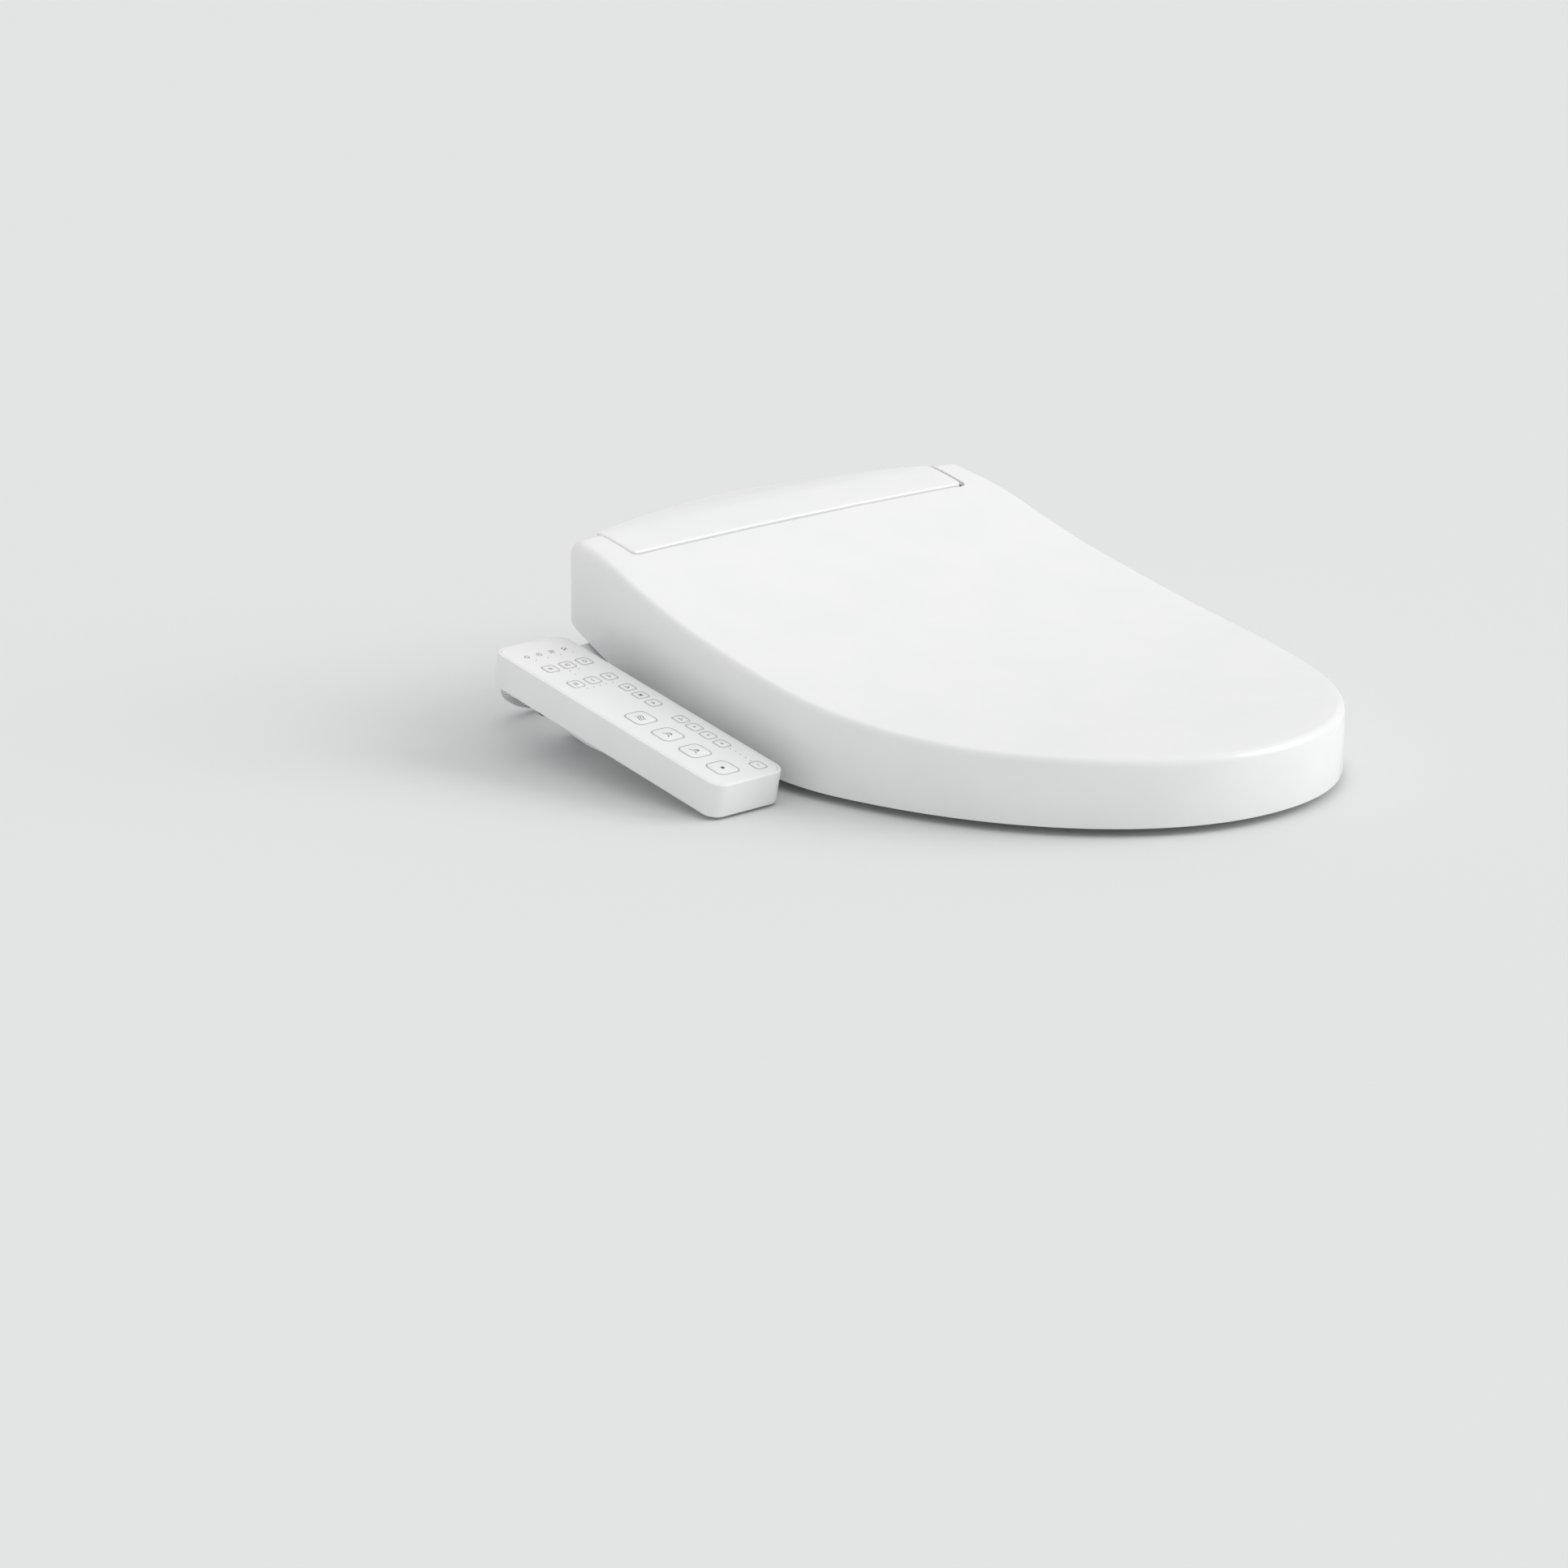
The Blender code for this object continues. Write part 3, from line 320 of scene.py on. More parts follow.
# ---- mesh making -----------------------------------------------------------------------------
class Maker:
    """Makes meshes from rings and outlines, and hands them to the frame's bodies."""

    SHARP = math.radians(38)

    @staticmethod
    def mesh(name: str, vertices: Sequence[Point], faces: Sequence[Sequence[int]],
             finish: Finish | None = None) -> bpy.types.Object:
        """Make an object from corners and faces, with its faces turned outward.

        Args:
            name: the object's name.
            vertices: its corners.
            faces: corner numbers of each face.
            finish: what it is dressed in; a cutter has none.

        Returns:
            The object.
        """
        data = bpy.data.meshes.new(name)
        work = bmesh.new()
        corners = [work.verts.new(v) for v in vertices]
        for face in faces:
            work.faces.new([corners[i] for i in face])
        bmesh.ops.recalc_face_normals(work, faces=work.faces)
        work.to_mesh(data)
        work.free()
        made = bpy.data.objects.new(name, data)
        bpy.context.scene.collection.objects.link(made)
        if finish:
            data.materials.append(finish.make())
            Maker.smooth(made)
        return made

    @staticmethod
    def smooth(target: bpy.types.Object) -> bpy.types.Object:
        """Shade an object smooth, except over its sharp edges."""
        target.data.shade_smooth()
        target.data.set_sharp_from_angle(angle=Maker.SHARP)
        return target

    @staticmethod
    def loft(name: str, rings: Sequence[Ring], finish: Finish | None = None,
             loop: bool = False, fans: bool = False) -> bpy.types.Object:
        """Skin a row of rings that have the same number of points.

        Args:
            name: the object's name.
            rings: the rings in order.
            finish: what it is dressed in.
            loop: whether the last ring joins the first.
            fans: whether its ends are closed by a fan about their middle, not by one face.

        Returns:
            The object.
        """
        count = len(rings[0])
        vertices: list[Point] = [tuple(v) for ring in rings for v in ring]
        faces: list[Sequence[int]] = []
        for r in range(len(rings) if loop else len(rings) - 1):
            low, high = r * count, ((r + 1) % len(rings)) * count
            for i in range(count):
                j = (i + 1) % count
                faces.append((low + i, low + j, high + j, high + i))
        if not loop:
            for start in (0, (len(rings) - 1) * count):
                if not fans:
                    faces.append(range(start, start + count))
                    continue
                middle = sum((Vector(v) for v in vertices[start:start + count]), Vector()) / count
                vertices.append(tuple(middle))
                faces += [(start + i, start + (i + 1) % count, len(vertices) - 1)
                          for i in range(count)]
        return Maker.mesh(name, vertices, faces, finish)

    @staticmethod
    def prism(name: str, plan: Plan, low: float, high: float,
              finish: Finish | None = None) -> bpy.types.Object:
        """Extrude an outline in X and Y from one height to another."""
        return Maker.loft(name, [[(x, y, z) for x, y in plan] for z in (low, high)], finish)

    @staticmethod
    def block(name: str, low: Point, high: Point, finish: Finish | None = None) -> bpy.types.Object:
        """Make a plain box between two corners."""
        plan = [(low[0], low[1]), (high[0], low[1]), (high[0], high[1]), (low[0], high[1])]
        return Maker.prism(name, plan, low[2], high[2], finish)

    @staticmethod
    def turned(name: str, profile: Sequence[tuple[float, float]], start: Sequence[float],
               along: Sequence[float], finish: Finish | None = None, sides: int = 48,
               ribs: Callable[[float, float], float] | None = None) -> bpy.types.Object:
        """Make a solid of revolution.

        Args:
            name: the object's name.
            profile: pairs of distance along the axis and radius.
            start: where the axis starts.
            along: the axis's direction.
            finish: what it is dressed in.
            sides: how many sides it has.
            ribs: a factor for the radius, from the distance and the angle round the axis.

        Returns:
            The object.
        """
        axis = Vector(along).normalized()
        across = axis.orthogonal().normalized()
        other = axis.cross(across)
        rings = []
        for distance, radius in profile:
            ring = []
            for i in range(sides):
                turn = 2 * math.pi * i / sides
                size = radius * (ribs(distance, turn) if ribs else 1.0)
                side = across * math.cos(turn) + other * math.sin(turn)
                ring.append(tuple(Vector(start) + axis * distance + side * size))
            rings.append(ring)
        return Maker.loft(name, rings, finish)

    @staticmethod
    def combine(target: bpy.types.Object, tools: Sequence[bpy.types.Object],
                how: str = "DIFFERENCE") -> bpy.types.Object:
        """Cut tools out of a mesh, or weld them on, and drop the tools.

        Args:
            target: the mesh that is changed.
            tools: the meshes that change it.
            how: DIFFERENCE or UNION.

        Returns:
            The changed object.
        """
        for tool in tools:
            step = target.modifiers.new("join", "BOOLEAN")
            step.operation, step.object, step.solver = how, tool, "EXACT"
            Maker.settle(target)
            bpy.data.objects.remove(tool)
        target.data.set_sharp_from_angle(angle=Maker.SHARP)
        return target

    @staticmethod
    def settle(target: bpy.types.Object) -> None:
        """Apply an object's modifiers to its mesh."""
        graph = bpy.context.evaluated_depsgraph_get()
        data = bpy.data.meshes.new_from_object(target.evaluated_get(graph))
        target.modifiers.clear()
        target.data = data

    @staticmethod
    def soften(target: bpy.types.Object, width: float, segments: int = 3,
               angle: float = 40.0) -> bpy.types.Object:
        """Round an object's sharp edges.

        Args:
            target: the object.
            width: how wide each rounding is.
            segments: how many steps it has.
            angle: the least angle between faces that is rounded, in degrees.

        Returns:
            The same object.
        """
        step = target.modifiers.new("round", "BEVEL")
        step.width, step.segments = width, segments
        step.limit_method, step.angle_limit = "ANGLE", math.radians(angle)
        Maker.settle(target)
        return Maker.smooth(target)

    @staticmethod
    def tube(name: str, path: Sequence[Vector], radius: float, finish: Finish,
             sides: int = 20) -> bpy.types.Object:
        """Make a round tube along a path, mapped once round and in metres along.

        Args:
            name: the object's name.
            path: the points that its middle follows.
            radius: its radius.
            finish: what it is dressed in.
            sides: how many sides it has.

        Returns:
            The tube.
        """
        rings, reach, travelled = [], [0.0], 0.0
        side = Vector((0.0, 0.0, 1.0))
        for i, place in enumerate(path):
            ahead = (path[min(i + 1, len(path) - 1)] - path[max(i - 1, 0)]).normalized()
            side = (side - ahead * side.dot(ahead)).normalized()
            other = ahead.cross(side)
            rings.append([tuple(place + (side * math.cos(t) + other * math.sin(t)) * radius)
                          for t in (2 * math.pi * k / sides for k in range(sides))])
            if i:
                travelled += (place - path[i - 1]).length
                reach.append(travelled)
        made = Maker.loft(name, rings, finish)
        layer = made.data.uv_layers.new(name="along")
        for face in made.data.polygons:
            seam = {made.data.loops[k].vertex_index % sides for k in face.loop_indices}
            wraps = seam == {0, sides - 1}
            for k in face.loop_indices:
                ring, spot = divmod(made.data.loops[k].vertex_index, sides)
                around = 1.0 if wraps and spot == 0 else spot / sides
                layer.data[k].uv = (around, reach[ring])
        return made

    @staticmethod
    def stand_for(piece: bpy.types.Object, body: str, *nodes: str) -> bpy.types.Object:
        """Make a piece ride on a body and stand for the frame's nodes, and report it.

        Args:
            piece: the fine piece.
            body: the body that it moves with.
            nodes: the nodes that it stands for.

        Returns:
            The same piece.
        """
        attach(piece, body)
        if nodes:
            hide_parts(*nodes)
        LOG.info("%s rides on %s and stands for %s", piece.name, body, ", ".join(nodes) or "nothing")
        return piece

    @staticmethod
    def hand_over(piece: bpy.types.Object, slot: str, body: str, *nodes: str) -> bpy.types.Object:
        """Let a piece stand for the frame's nodes on a body."""
        return Maker.stand_for(piece, body, *nodes)


def rounded(half_x: float, half_y: float, radius: float, middle: tuple[float, float] = (0.0, 0.0),
            steps: int = 8) -> Plan:
    """Draw a rectangle with round corners.

    Args:
        half_x: half its width.
        half_y: half its length.
        radius: its corners' radius.
        middle: where its middle is.
        steps: how many steps each corner has.

    Returns:
        Its outline.
    """
    plan = []
    for k, (sx, sy) in enumerate(((1, 1), (-1, 1), (-1, -1), (1, -1))):
        cx, cy = middle[0] + sx * (half_x - radius), middle[1] + sy * (half_y - radius)
        for i in range(steps + 1):
            turn = math.pi / 2 * (k + i / steps)
            plan.append((cx + radius * math.cos(turn), cy + radius * math.sin(turn)))
    return plan


def drawn_in(plan: Plan, inset: float | Callable[[float], float]) -> Plan:
    """Move every point of an outline inward, square to its neighbours.

    Args:
        plan: the outline, going round with its inside on the left.
        inset: how far it moves, or what gives that at Y.

    Returns:
        The smaller outline.
    """
    moved = []
    depth = inset if callable(inset) else lambda y: inset
    for i, (x, y) in enumerate(plan):
        (ax, ay), (bx, by) = plan[i - 1], plan[(i + 1) % len(plan)]
        length = math.hypot(bx - ax, by - ay)
        moved.append((x - (by - ay) / length * depth(y), y + (bx - ax) / length * depth(y)))
    return moved


def quarter(steps: int, first: int = 0) -> list[float]:
    """Give the angles of a quarter turn in even steps, from the first that is wanted."""
    return [math.pi / 2 * i / steps for i in range(first, steps + 1)]


def eased(t: float) -> float:
    """Give a share from 0 to 1 that starts and ends gently."""
    return 3 * t * t - 2 * t**3


def mirrored(half: Plan) -> Plan:
    """Complete an outline from its half at +X, which starts and ends on the centre line."""
    return half + [(-x, y) for x, y in reversed(half[1:-1])]


def curved(bend: Sequence[tuple[float, float]], steps: int) -> Plan:
    """Draw a curve that cuts a corner.

    Args:
        bend: its start, the corner and its end.
        steps: how many steps it has.

    Returns:
        The points after its start.
    """
    return [tuple((1 - t) ** 2 * a + 2 * t * (1 - t) * b + t * t * c for a, b, c in zip(*bend))
            for t in (i / steps for i in range(1, steps + 1))]


def scaled(plan: Plan, middle: tuple[float, float], scale: float) -> Plan:
    """Draw an outline smaller, about a middle."""
    return [(middle[0] + (x - middle[0]) * scale, middle[1] + (y - middle[1]) * scale)
            for x, y in plan]


def front_corner(half: float, front_y: float, corner: float) -> Plan:
    """Draw the round corner between a front edge and the side at +X."""
    turns = [math.pi / 2 * (i / 8 - 1) for i in range(9)]
    return [(half - corner + corner * math.cos(turn), front_y + corner + corner * math.sin(turn))
            for turn in turns]


def smooth_value(table: Sequence[tuple[float, float]], at: float) -> float:
    """Read a smooth curve through pairs of place and value.

    Args:
        table: the pairs in order.
        at: the place that is asked for.

    Returns:
        The value there.
    """
    at = min(max(at, table[0][0]), table[-1][0])
    i = next(k for k in range(len(table) - 1) if at <= table[k + 1][0])
    (x0, y0), (x1, y1) = table[i], table[i + 1]
    before, after = table[max(i - 1, 0)], table[min(i + 2, len(table) - 1)]
    slope0 = (y1 - before[1]) / (x1 - before[0])
    slope1 = (after[1] - y0) / (after[0] - x0)
    span, t = x1 - x0, (at - x0) / (x1 - x0)
    return ((2 * t**3 - 3 * t**2 + 1) * y0 + (t**3 - 2 * t**2 + t) * span * slope0
            + (3 * t**2 - 2 * t**3) * y1 + (t**3 - t**2) * span * slope1)


def smooth_path(points: Sequence[Vector], count: int) -> list[Vector]:
    """Read evenly spaced points from a smooth curve through some others.

    Args:
        points: the points that the curve goes through.
        count: how many points are wanted.

    Returns:
        The new points.
    """
    ends = [2 * points[0] - points[1], *points, 2 * points[-1] - points[-2]]
    fine: list[Vector] = []
    for i in range(1, len(ends) - 2):
        a, b, c, d = ends[i - 1:i + 3]
        for k in range(40):
            t = k / 40
            fine.append(0.5 * (2 * b + (c - a) * t + (2 * a - 5 * b + 4 * c - d) * t * t
                               + (3 * b - a - 3 * c + d) * t**3))
    fine.append(points[-1])
    reach = [0.0]
    for a, b in zip(fine, fine[1:]):
        reach.append(reach[-1] + (b - a).length)
    path, k = [], 0
    for i in range(count):
        want = reach[-1] * i / (count - 1)
        while k < len(fine) - 2 and reach[k + 1] < want:
            k += 1
        share = (want - reach[k]) / max(reach[k + 1] - reach[k], 1e-9)
        path.append(fine[k].lerp(fine[k + 1], min(share, 1.0)))
    return path


# ---- the shape that the lid, plate, seat and unit share --------------------------------------
@dataclass(frozen=True)
class SeatForm:
    """The plan and the top surface that the lid and the top plate carry on."""

    front_y: float = -0.446
    widest_y: float = -0.149
    half_width: float = 0.1935
    power_x: float = 2.08
    power_y: float = 2.27
    taper: float = 0.006
    corner_y: float = 0.029
    ear_rear_y: float = 0.043
    rear_y: float = 0.075
    rear_radius: float = 0.383
    crown: float = 0.0025
    skirt_z: float = 0.005
    rise_y: float = -0.225
    rise: float = 0.0665
    rise_length: float = 0.261
    ear_corner_x: float = 0.1873
    ear_round_x: float = 0.172
    ear_inner_x: float = 0.159
    rear_start_x: float = 0.157
    hinge_y: float = 0.034
    hinge_z: float = 0.106
    hub_radius: float = 0.0075
    pin_radius: float = 0.004
    tops: tuple[tuple[float, float], ...] = (
        (-0.446, 0.0475), (-0.386, 0.0493), (-0.306, 0.052), (-0.206, 0.0628), (-0.106, 0.0855),
        (-0.059, 0.0998), (-0.009, 0.118), (0.016, 0.125), (0.038, 0.129), (0.075, 0.1275))

    def rear_edge(self, x: float) -> float:
        """Give Y of the rear edge at a distance from the centre line."""
        return self.rear_y - x * x / (2 * self.rear_radius)

    def height(self, x: float, y: float) -> float:
        """Give the height of the top surface."""
        crown = self.crown * (1 - min(abs(x) / self.half_width, 1) ** 2)
        return smooth_value(self.tops, y) + crown

    def skirt(self, y: float) -> float:
        """Give the height of the lower edge of the lid's skirt."""
        return self.skirt_z + self.rise * (max(y - self.rise_y, 0.0) / self.rise_length) ** 2

    def outline(self, inset: float = 0.0, fine: int = 3) -> Plan:
        """Draw the lid's plan from its front tip round by +X.

        Args:
            inset: how far it is drawn in.
            fine: a factor for how many points it has.

        Returns:
            The outline.
        """
        half: Plan = [(self.half_width * math.sin(turn) ** (2 / self.power_x),
                       self.widest_y - (self.widest_y - self.front_y)
                       * math.cos(turn) ** (2 / self.power_y)) for turn in quarter(17 * fine)]
        side = 5 * fine
        half += [(self.half_width - self.taper * t * t,
                  self.widest_y + (self.corner_y - self.widest_y) * t)
                 for t in (i / side for i in range(1, side + 1))]
        half += curved((half[-1], (self.ear_corner_x, self.ear_rear_y),
                        (self.ear_round_x, self.ear_rear_y)), 4 * fine)
        half += [(self.ear_round_x + (self.ear_inner_x - self.ear_round_x) * i / 3, self.ear_rear_y)
                 for i in range(1, 4)]
        back = 7 * fine
        half += [(x, self.rear_edge(x))
                 for x in (self.rear_start_x * (1 - i / back) for i in range(1, back + 1))]
        plan = mirrored(half)
        return drawn_in(plan, inset) if inset else plan

    def shell(self, plan: Plan, bottom: Callable[[float], float], drop: float, wall: float,
              edge: Callable[[float], float], middle: tuple[float, float]) -> list[Ring]:
        """Skin a hollow moulding whose top is the shared surface.

        Args:
            plan: its outline.
            bottom: gives the height of its lower edge at Y.
            drop: how far its top lies below the shared surface.
            wall: its thickness.
            edge: gives the radius between its top and its side at Y.
            middle: the point that its top's rings close on.

        Returns:
            Its rings, from the middle of its top outward, down, in and up to the middle inside.
        """
        scales = (0.03, 0.15, 0.3, 0.45, 0.6, 0.72, 0.82, 0.9, 0.96)
        least_round = 0.0015

        def top_rings(base: Plan, down: float) -> list[Ring]:
            return [[(x, y, self.height(x, y) - down) for x, y in scaled(base, middle, scale)]
                    for scale in scales]

        def rolled(turn: float, depth: float, radius: Callable[[float], float]) -> Ring:
            """Give a ring of the rolled edge; 0 degrees is at its side and 90 at its top."""
            moved = drawn_in(plan, lambda y: depth + radius(y) * (1 - math.cos(turn)))
            return [(px, py, self.height(px, py) - drop - depth - radius(y) * (1 - math.sin(turn)))
                    for (px, py), (_, y) in zip(moved, plan)]

        def tight(y: float) -> float:
            return max(edge(y) - wall, least_round)

        turns = quarter(8)
        outer = top_rings(drawn_in(plan, edge), drop)
        outer += [rolled(turn, 0.0, edge) for turn in reversed(turns)]
        lip = 0.0009
        for step_in, up in ((0.0, lip), (lip * 0.3, lip * 0.3), (lip, 0.0), (wall - lip, 0.0),
                            (wall - lip * 0.3, lip * 0.3), (wall, lip)):
            outer.append([(x, y, bottom(y) + up) for x, y in drawn_in(plan, step_in)])
        inner = [rolled(turn, wall, tight) for turn in turns]
        inner += reversed(top_rings(drawn_in(plan, lambda y: wall + tight(y)), drop + wall))
        return outer + inner

    def arc(self, first: float, last: float, steps: int = 20) -> Plan:
        """Draw part of the hinge hub's circle in Y and Z, between two angles in degrees."""
        points = []
        for i in range(steps + 1):
            turn = math.radians(first + (last - first) * i / steps)
            points.append((self.hinge_y + self.hub_radius * math.cos(turn),
                           self.hinge_z + self.hub_radius * math.sin(turn)))
        return points

    def bore(self, x0: float, x1: float, clear: float = 0.0004) -> bpy.types.Object:
        """Make the cutter of a hole for the hinge pin between two X."""
        return Maker.turned("pin_bore", [(0.0, self.pin_radius + clear),
                                         (x1 - x0, self.pin_radius + clear)],
                            (x0, self.hinge_y, self.hinge_z), (1, 0, 0), None, 32)


FORM = SeatForm()


def side_solid(name: str, profile: Plan, x0: float, x1: float,
               finish: Finish | None = None) -> bpy.types.Object:
    """Extrude an outline in Y and Z from one X to another."""
    return Maker.loft(name, [[(x, y, z) for y, z in profile] for x in (x0, x1)], finish)


# ---- camera, light and floor -----------------------------------------------------------------
@dataclass
class Studio:
    """The camera, a pale floor and large soft lights."""

    lens_mm: float = 108.28
    azimuth: float = -43.26
    elevation: float = 16.24
    place: Point = (-2.2215, -2.3382, 0.8675)
    floor_z: float = -0.0006
    floor_half: float = 20.0
    sky_power: float = 0.60

    def build(self) -> None:
        """Set up the camera, the floor, the world and the lights."""
        self.camera()
        self.floor()
        self.sky()
        # a broad overhead light whitens the lid, and one from the front right shapes its sides
        self.soft_light("overhead_light", (0.1, 0.1, 1.0), 150.0, 0.45)
        self.soft_light("front_light", (1.0, -0.8, 0.7), 45.0, 1.3)

    def camera(self) -> None:
        """Place the camera."""
        data = bpy.data.cameras.new("studio_camera")
        data.lens, data.sensor_width = self.lens_mm, 36.0
        camera = bpy.data.objects.new("studio_camera", data)
        camera.location = self.place
        camera.rotation_euler = (math.radians(90 - self.elevation), 0.0, math.radians(self.azimuth))
        bpy.context.scene.collection.objects.link(camera)
        bpy.context.scene.camera = camera
        bpy.context.scene.view_settings.view_transform = "Standard"

    def floor(self) -> None:
        """Lay a large pale floor under everything."""
        size = self.floor_half
        floor = Maker.mesh("studio_floor", [(-size, -size, self.floor_z), (size, -size, self.floor_z),
                                            (size, size, self.floor_z), (-size, size, self.floor_z)],
                           [(0, 1, 2, 3)], Finish("studio_paper", "#e9eaea", 0.8))

    def sky(self) -> None:
        """Fill the world with soft pale light."""
        world = bpy.data.worlds.new("studio_air")
        world.use_nodes = True
        sky = world.node_tree.nodes["Background"]
        sky.inputs["Color"].default_value = linear("#ffffff")
        sky.inputs["Strength"].default_value = self.sky_power
        bpy.context.scene.world = world

    def soft_light(self, name: str, source: Point, spread: float, power: float) -> None:
        """Light everything evenly from one wide patch of the air.

        Args:
            name: its name.
            source: the direction that it comes from.
            spread: how wide the patch looks, in degrees.
            power: its strength in watts for each square metre.
        """
        data = bpy.data.lights.new(name, "SUN")
        data.angle, data.energy = math.radians(spread), power
        light = bpy.data.objects.new(name, data)
        light.rotation_euler = Vector(source).to_track_quat("Z", "Y").to_euler()
        bpy.context.scene.collection.objects.link(light)


# ---- hose and mains lead ---------------------------------------------------------------------
@dataclass
class SupplyHose:
    """The braided hose from the water block to the branch valve, lying behind the unit."""

    mouth: Point = (-0.225, 0.0368, 0.0301)
    radius: float = 0.006
    rest_z: float = 0.0063
    end_x: float = 0.140
    end_z: float = 0.0160
    bend: float = 0.040
    wave: float = 0.007
    length: float = 0.40

    def route(self) -> list[Vector]:
        """Give the points that the hose's middle goes through.

        Returns:
            The points from the coupling to the branch nut.
        """
        mouth = Vector(self.mouth)
        start = mouth + Vector((0.0, 0.006, 0.0))
        points = [mouth, mouth.lerp(start, 0.5), start]
        for i in range(1, 5):
            turn = math.pi / 2 * i / 4
            drop = (start.z - self.rest_z) * (0.5 - 0.5 * math.cos(math.pi * min(i / 5, 1.0)))
            points.append(start + Vector((self.bend - self.bend * math.cos(turn),
                                          self.bend * math.sin(turn), -drop)))
        first, last_y = points[-1], mouth.y - 0.0004 + self.bend + 0.013
        for i in range(1, 8):
            x = first.x + (self.end_x - 0.075 - first.x) * i / 7
            wave = self.wave * math.sin(math.pi * i / 3.5) ** 2 * (1 if i > 3 else -0.6)
            points.append(Vector((x, first.y + (last_y - first.y) * min(i / 2, 1.0) + wave,
                                  self.rest_z)))
        for back, share in ((0.05, 0.25), (0.025, 0.8), (0.010, 1.0), (0.0, 1.0)):
            points.append(Vector((self.end_x - back, last_y,
                                  self.rest_z + (self.end_z - self.rest_z) * share)))
        return points

    def build(self) -> None:
        """Make the hose and what is on its far end."""
        route = smooth_path(self.route(), 40)
        path = smooth_path(route, 200)
        hose = Maker.tube("braided_hose", path, self.radius, BRAID, 24)
        Maker.hand_over(hose, "hose_braid", "main_unit", "water_hose")
        nut = self.branch_nut(Vector(self.route()[-1]))
        valve = self.branch_valve(Vector(self.route()[-1]))
        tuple(self.mouth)

    def branch_nut(self, end: Vector) -> bpy.types.Object:
        """Make the ribbed hand nut on the hose's end.

        Args:
            end: where the hose ends.

        Returns:
            The nut.
        """
        def ribs(distance: float, turn: float) -> float:
            if not 0.005 < distance < 0.0275:
                return 1.0
            return 1.0 - 0.055 * max(0.0, math.cos(16 * turn)) ** 3

        profile = [(0.0, 0.0118), (0.0006, 0.0130), (0.0040, 0.0144), (0.0050, 0.0147),
                   (0.0060, 0.0149), (0.0260, 0.0155), (0.0275, 0.0155), (0.0292, 0.0153),
                   (0.0300, 0.0146)]
        nut = Maker.turned("ribbed_branch_nut", profile, end + Vector((0.0004, 0.0, 0.0)),
                           (1, 0, 0), CREAM, 128, ribs)
        return Maker.hand_over(nut, "cream_plastic", "main_unit", "branch_nut")

    def branch_valve(self, end: Vector) -> bpy.types.Object:
        """Make the valve body with a six-sided nut at each end.

        Args:
            end: where the hose ends.

        Returns:
            The valve body; its plated nuts are its children.
        """
        start = end + Vector((0.0308, 0.0, 0.0))
        middle = start + Vector((0.012, 0.0, 0.0))
        neck = [(0.0, 0.0108), (0.0008, 0.0115), (0.006, 0.0115), (0.012, 0.0100)]
        body = Maker.turned("branch_valve_body", neck, start, (1, 0, 0), DARK_GREY, 48)
        run = [(0.015, 0.0096), (0.0158, 0.0106), (0.0442, 0.0106), (0.045, 0.0096)]
        Maker.combine(body, [Maker.turned("valve_run", run, middle + Vector((0.0, -0.030, 0.0)),
                                          (0, 1, 0), None, 48)], "UNION")
        Maker.smooth(body)
        for n, y in enumerate((-0.030, 0.0155), 1):
            hexagon = Maker.turned(f"branch_hex_{n}", [(0.0, 0.0100), (0.0145, 0.0100)],
                                   middle + Vector((0.0, y, 0.0)), (0, 1, 0), CHROME, 6)
            Maker.soften(hexagon, 0.0006, 2)
            hexagon.parent = body
        return Maker.stand_for(body, "main_unit", "junction_valve")


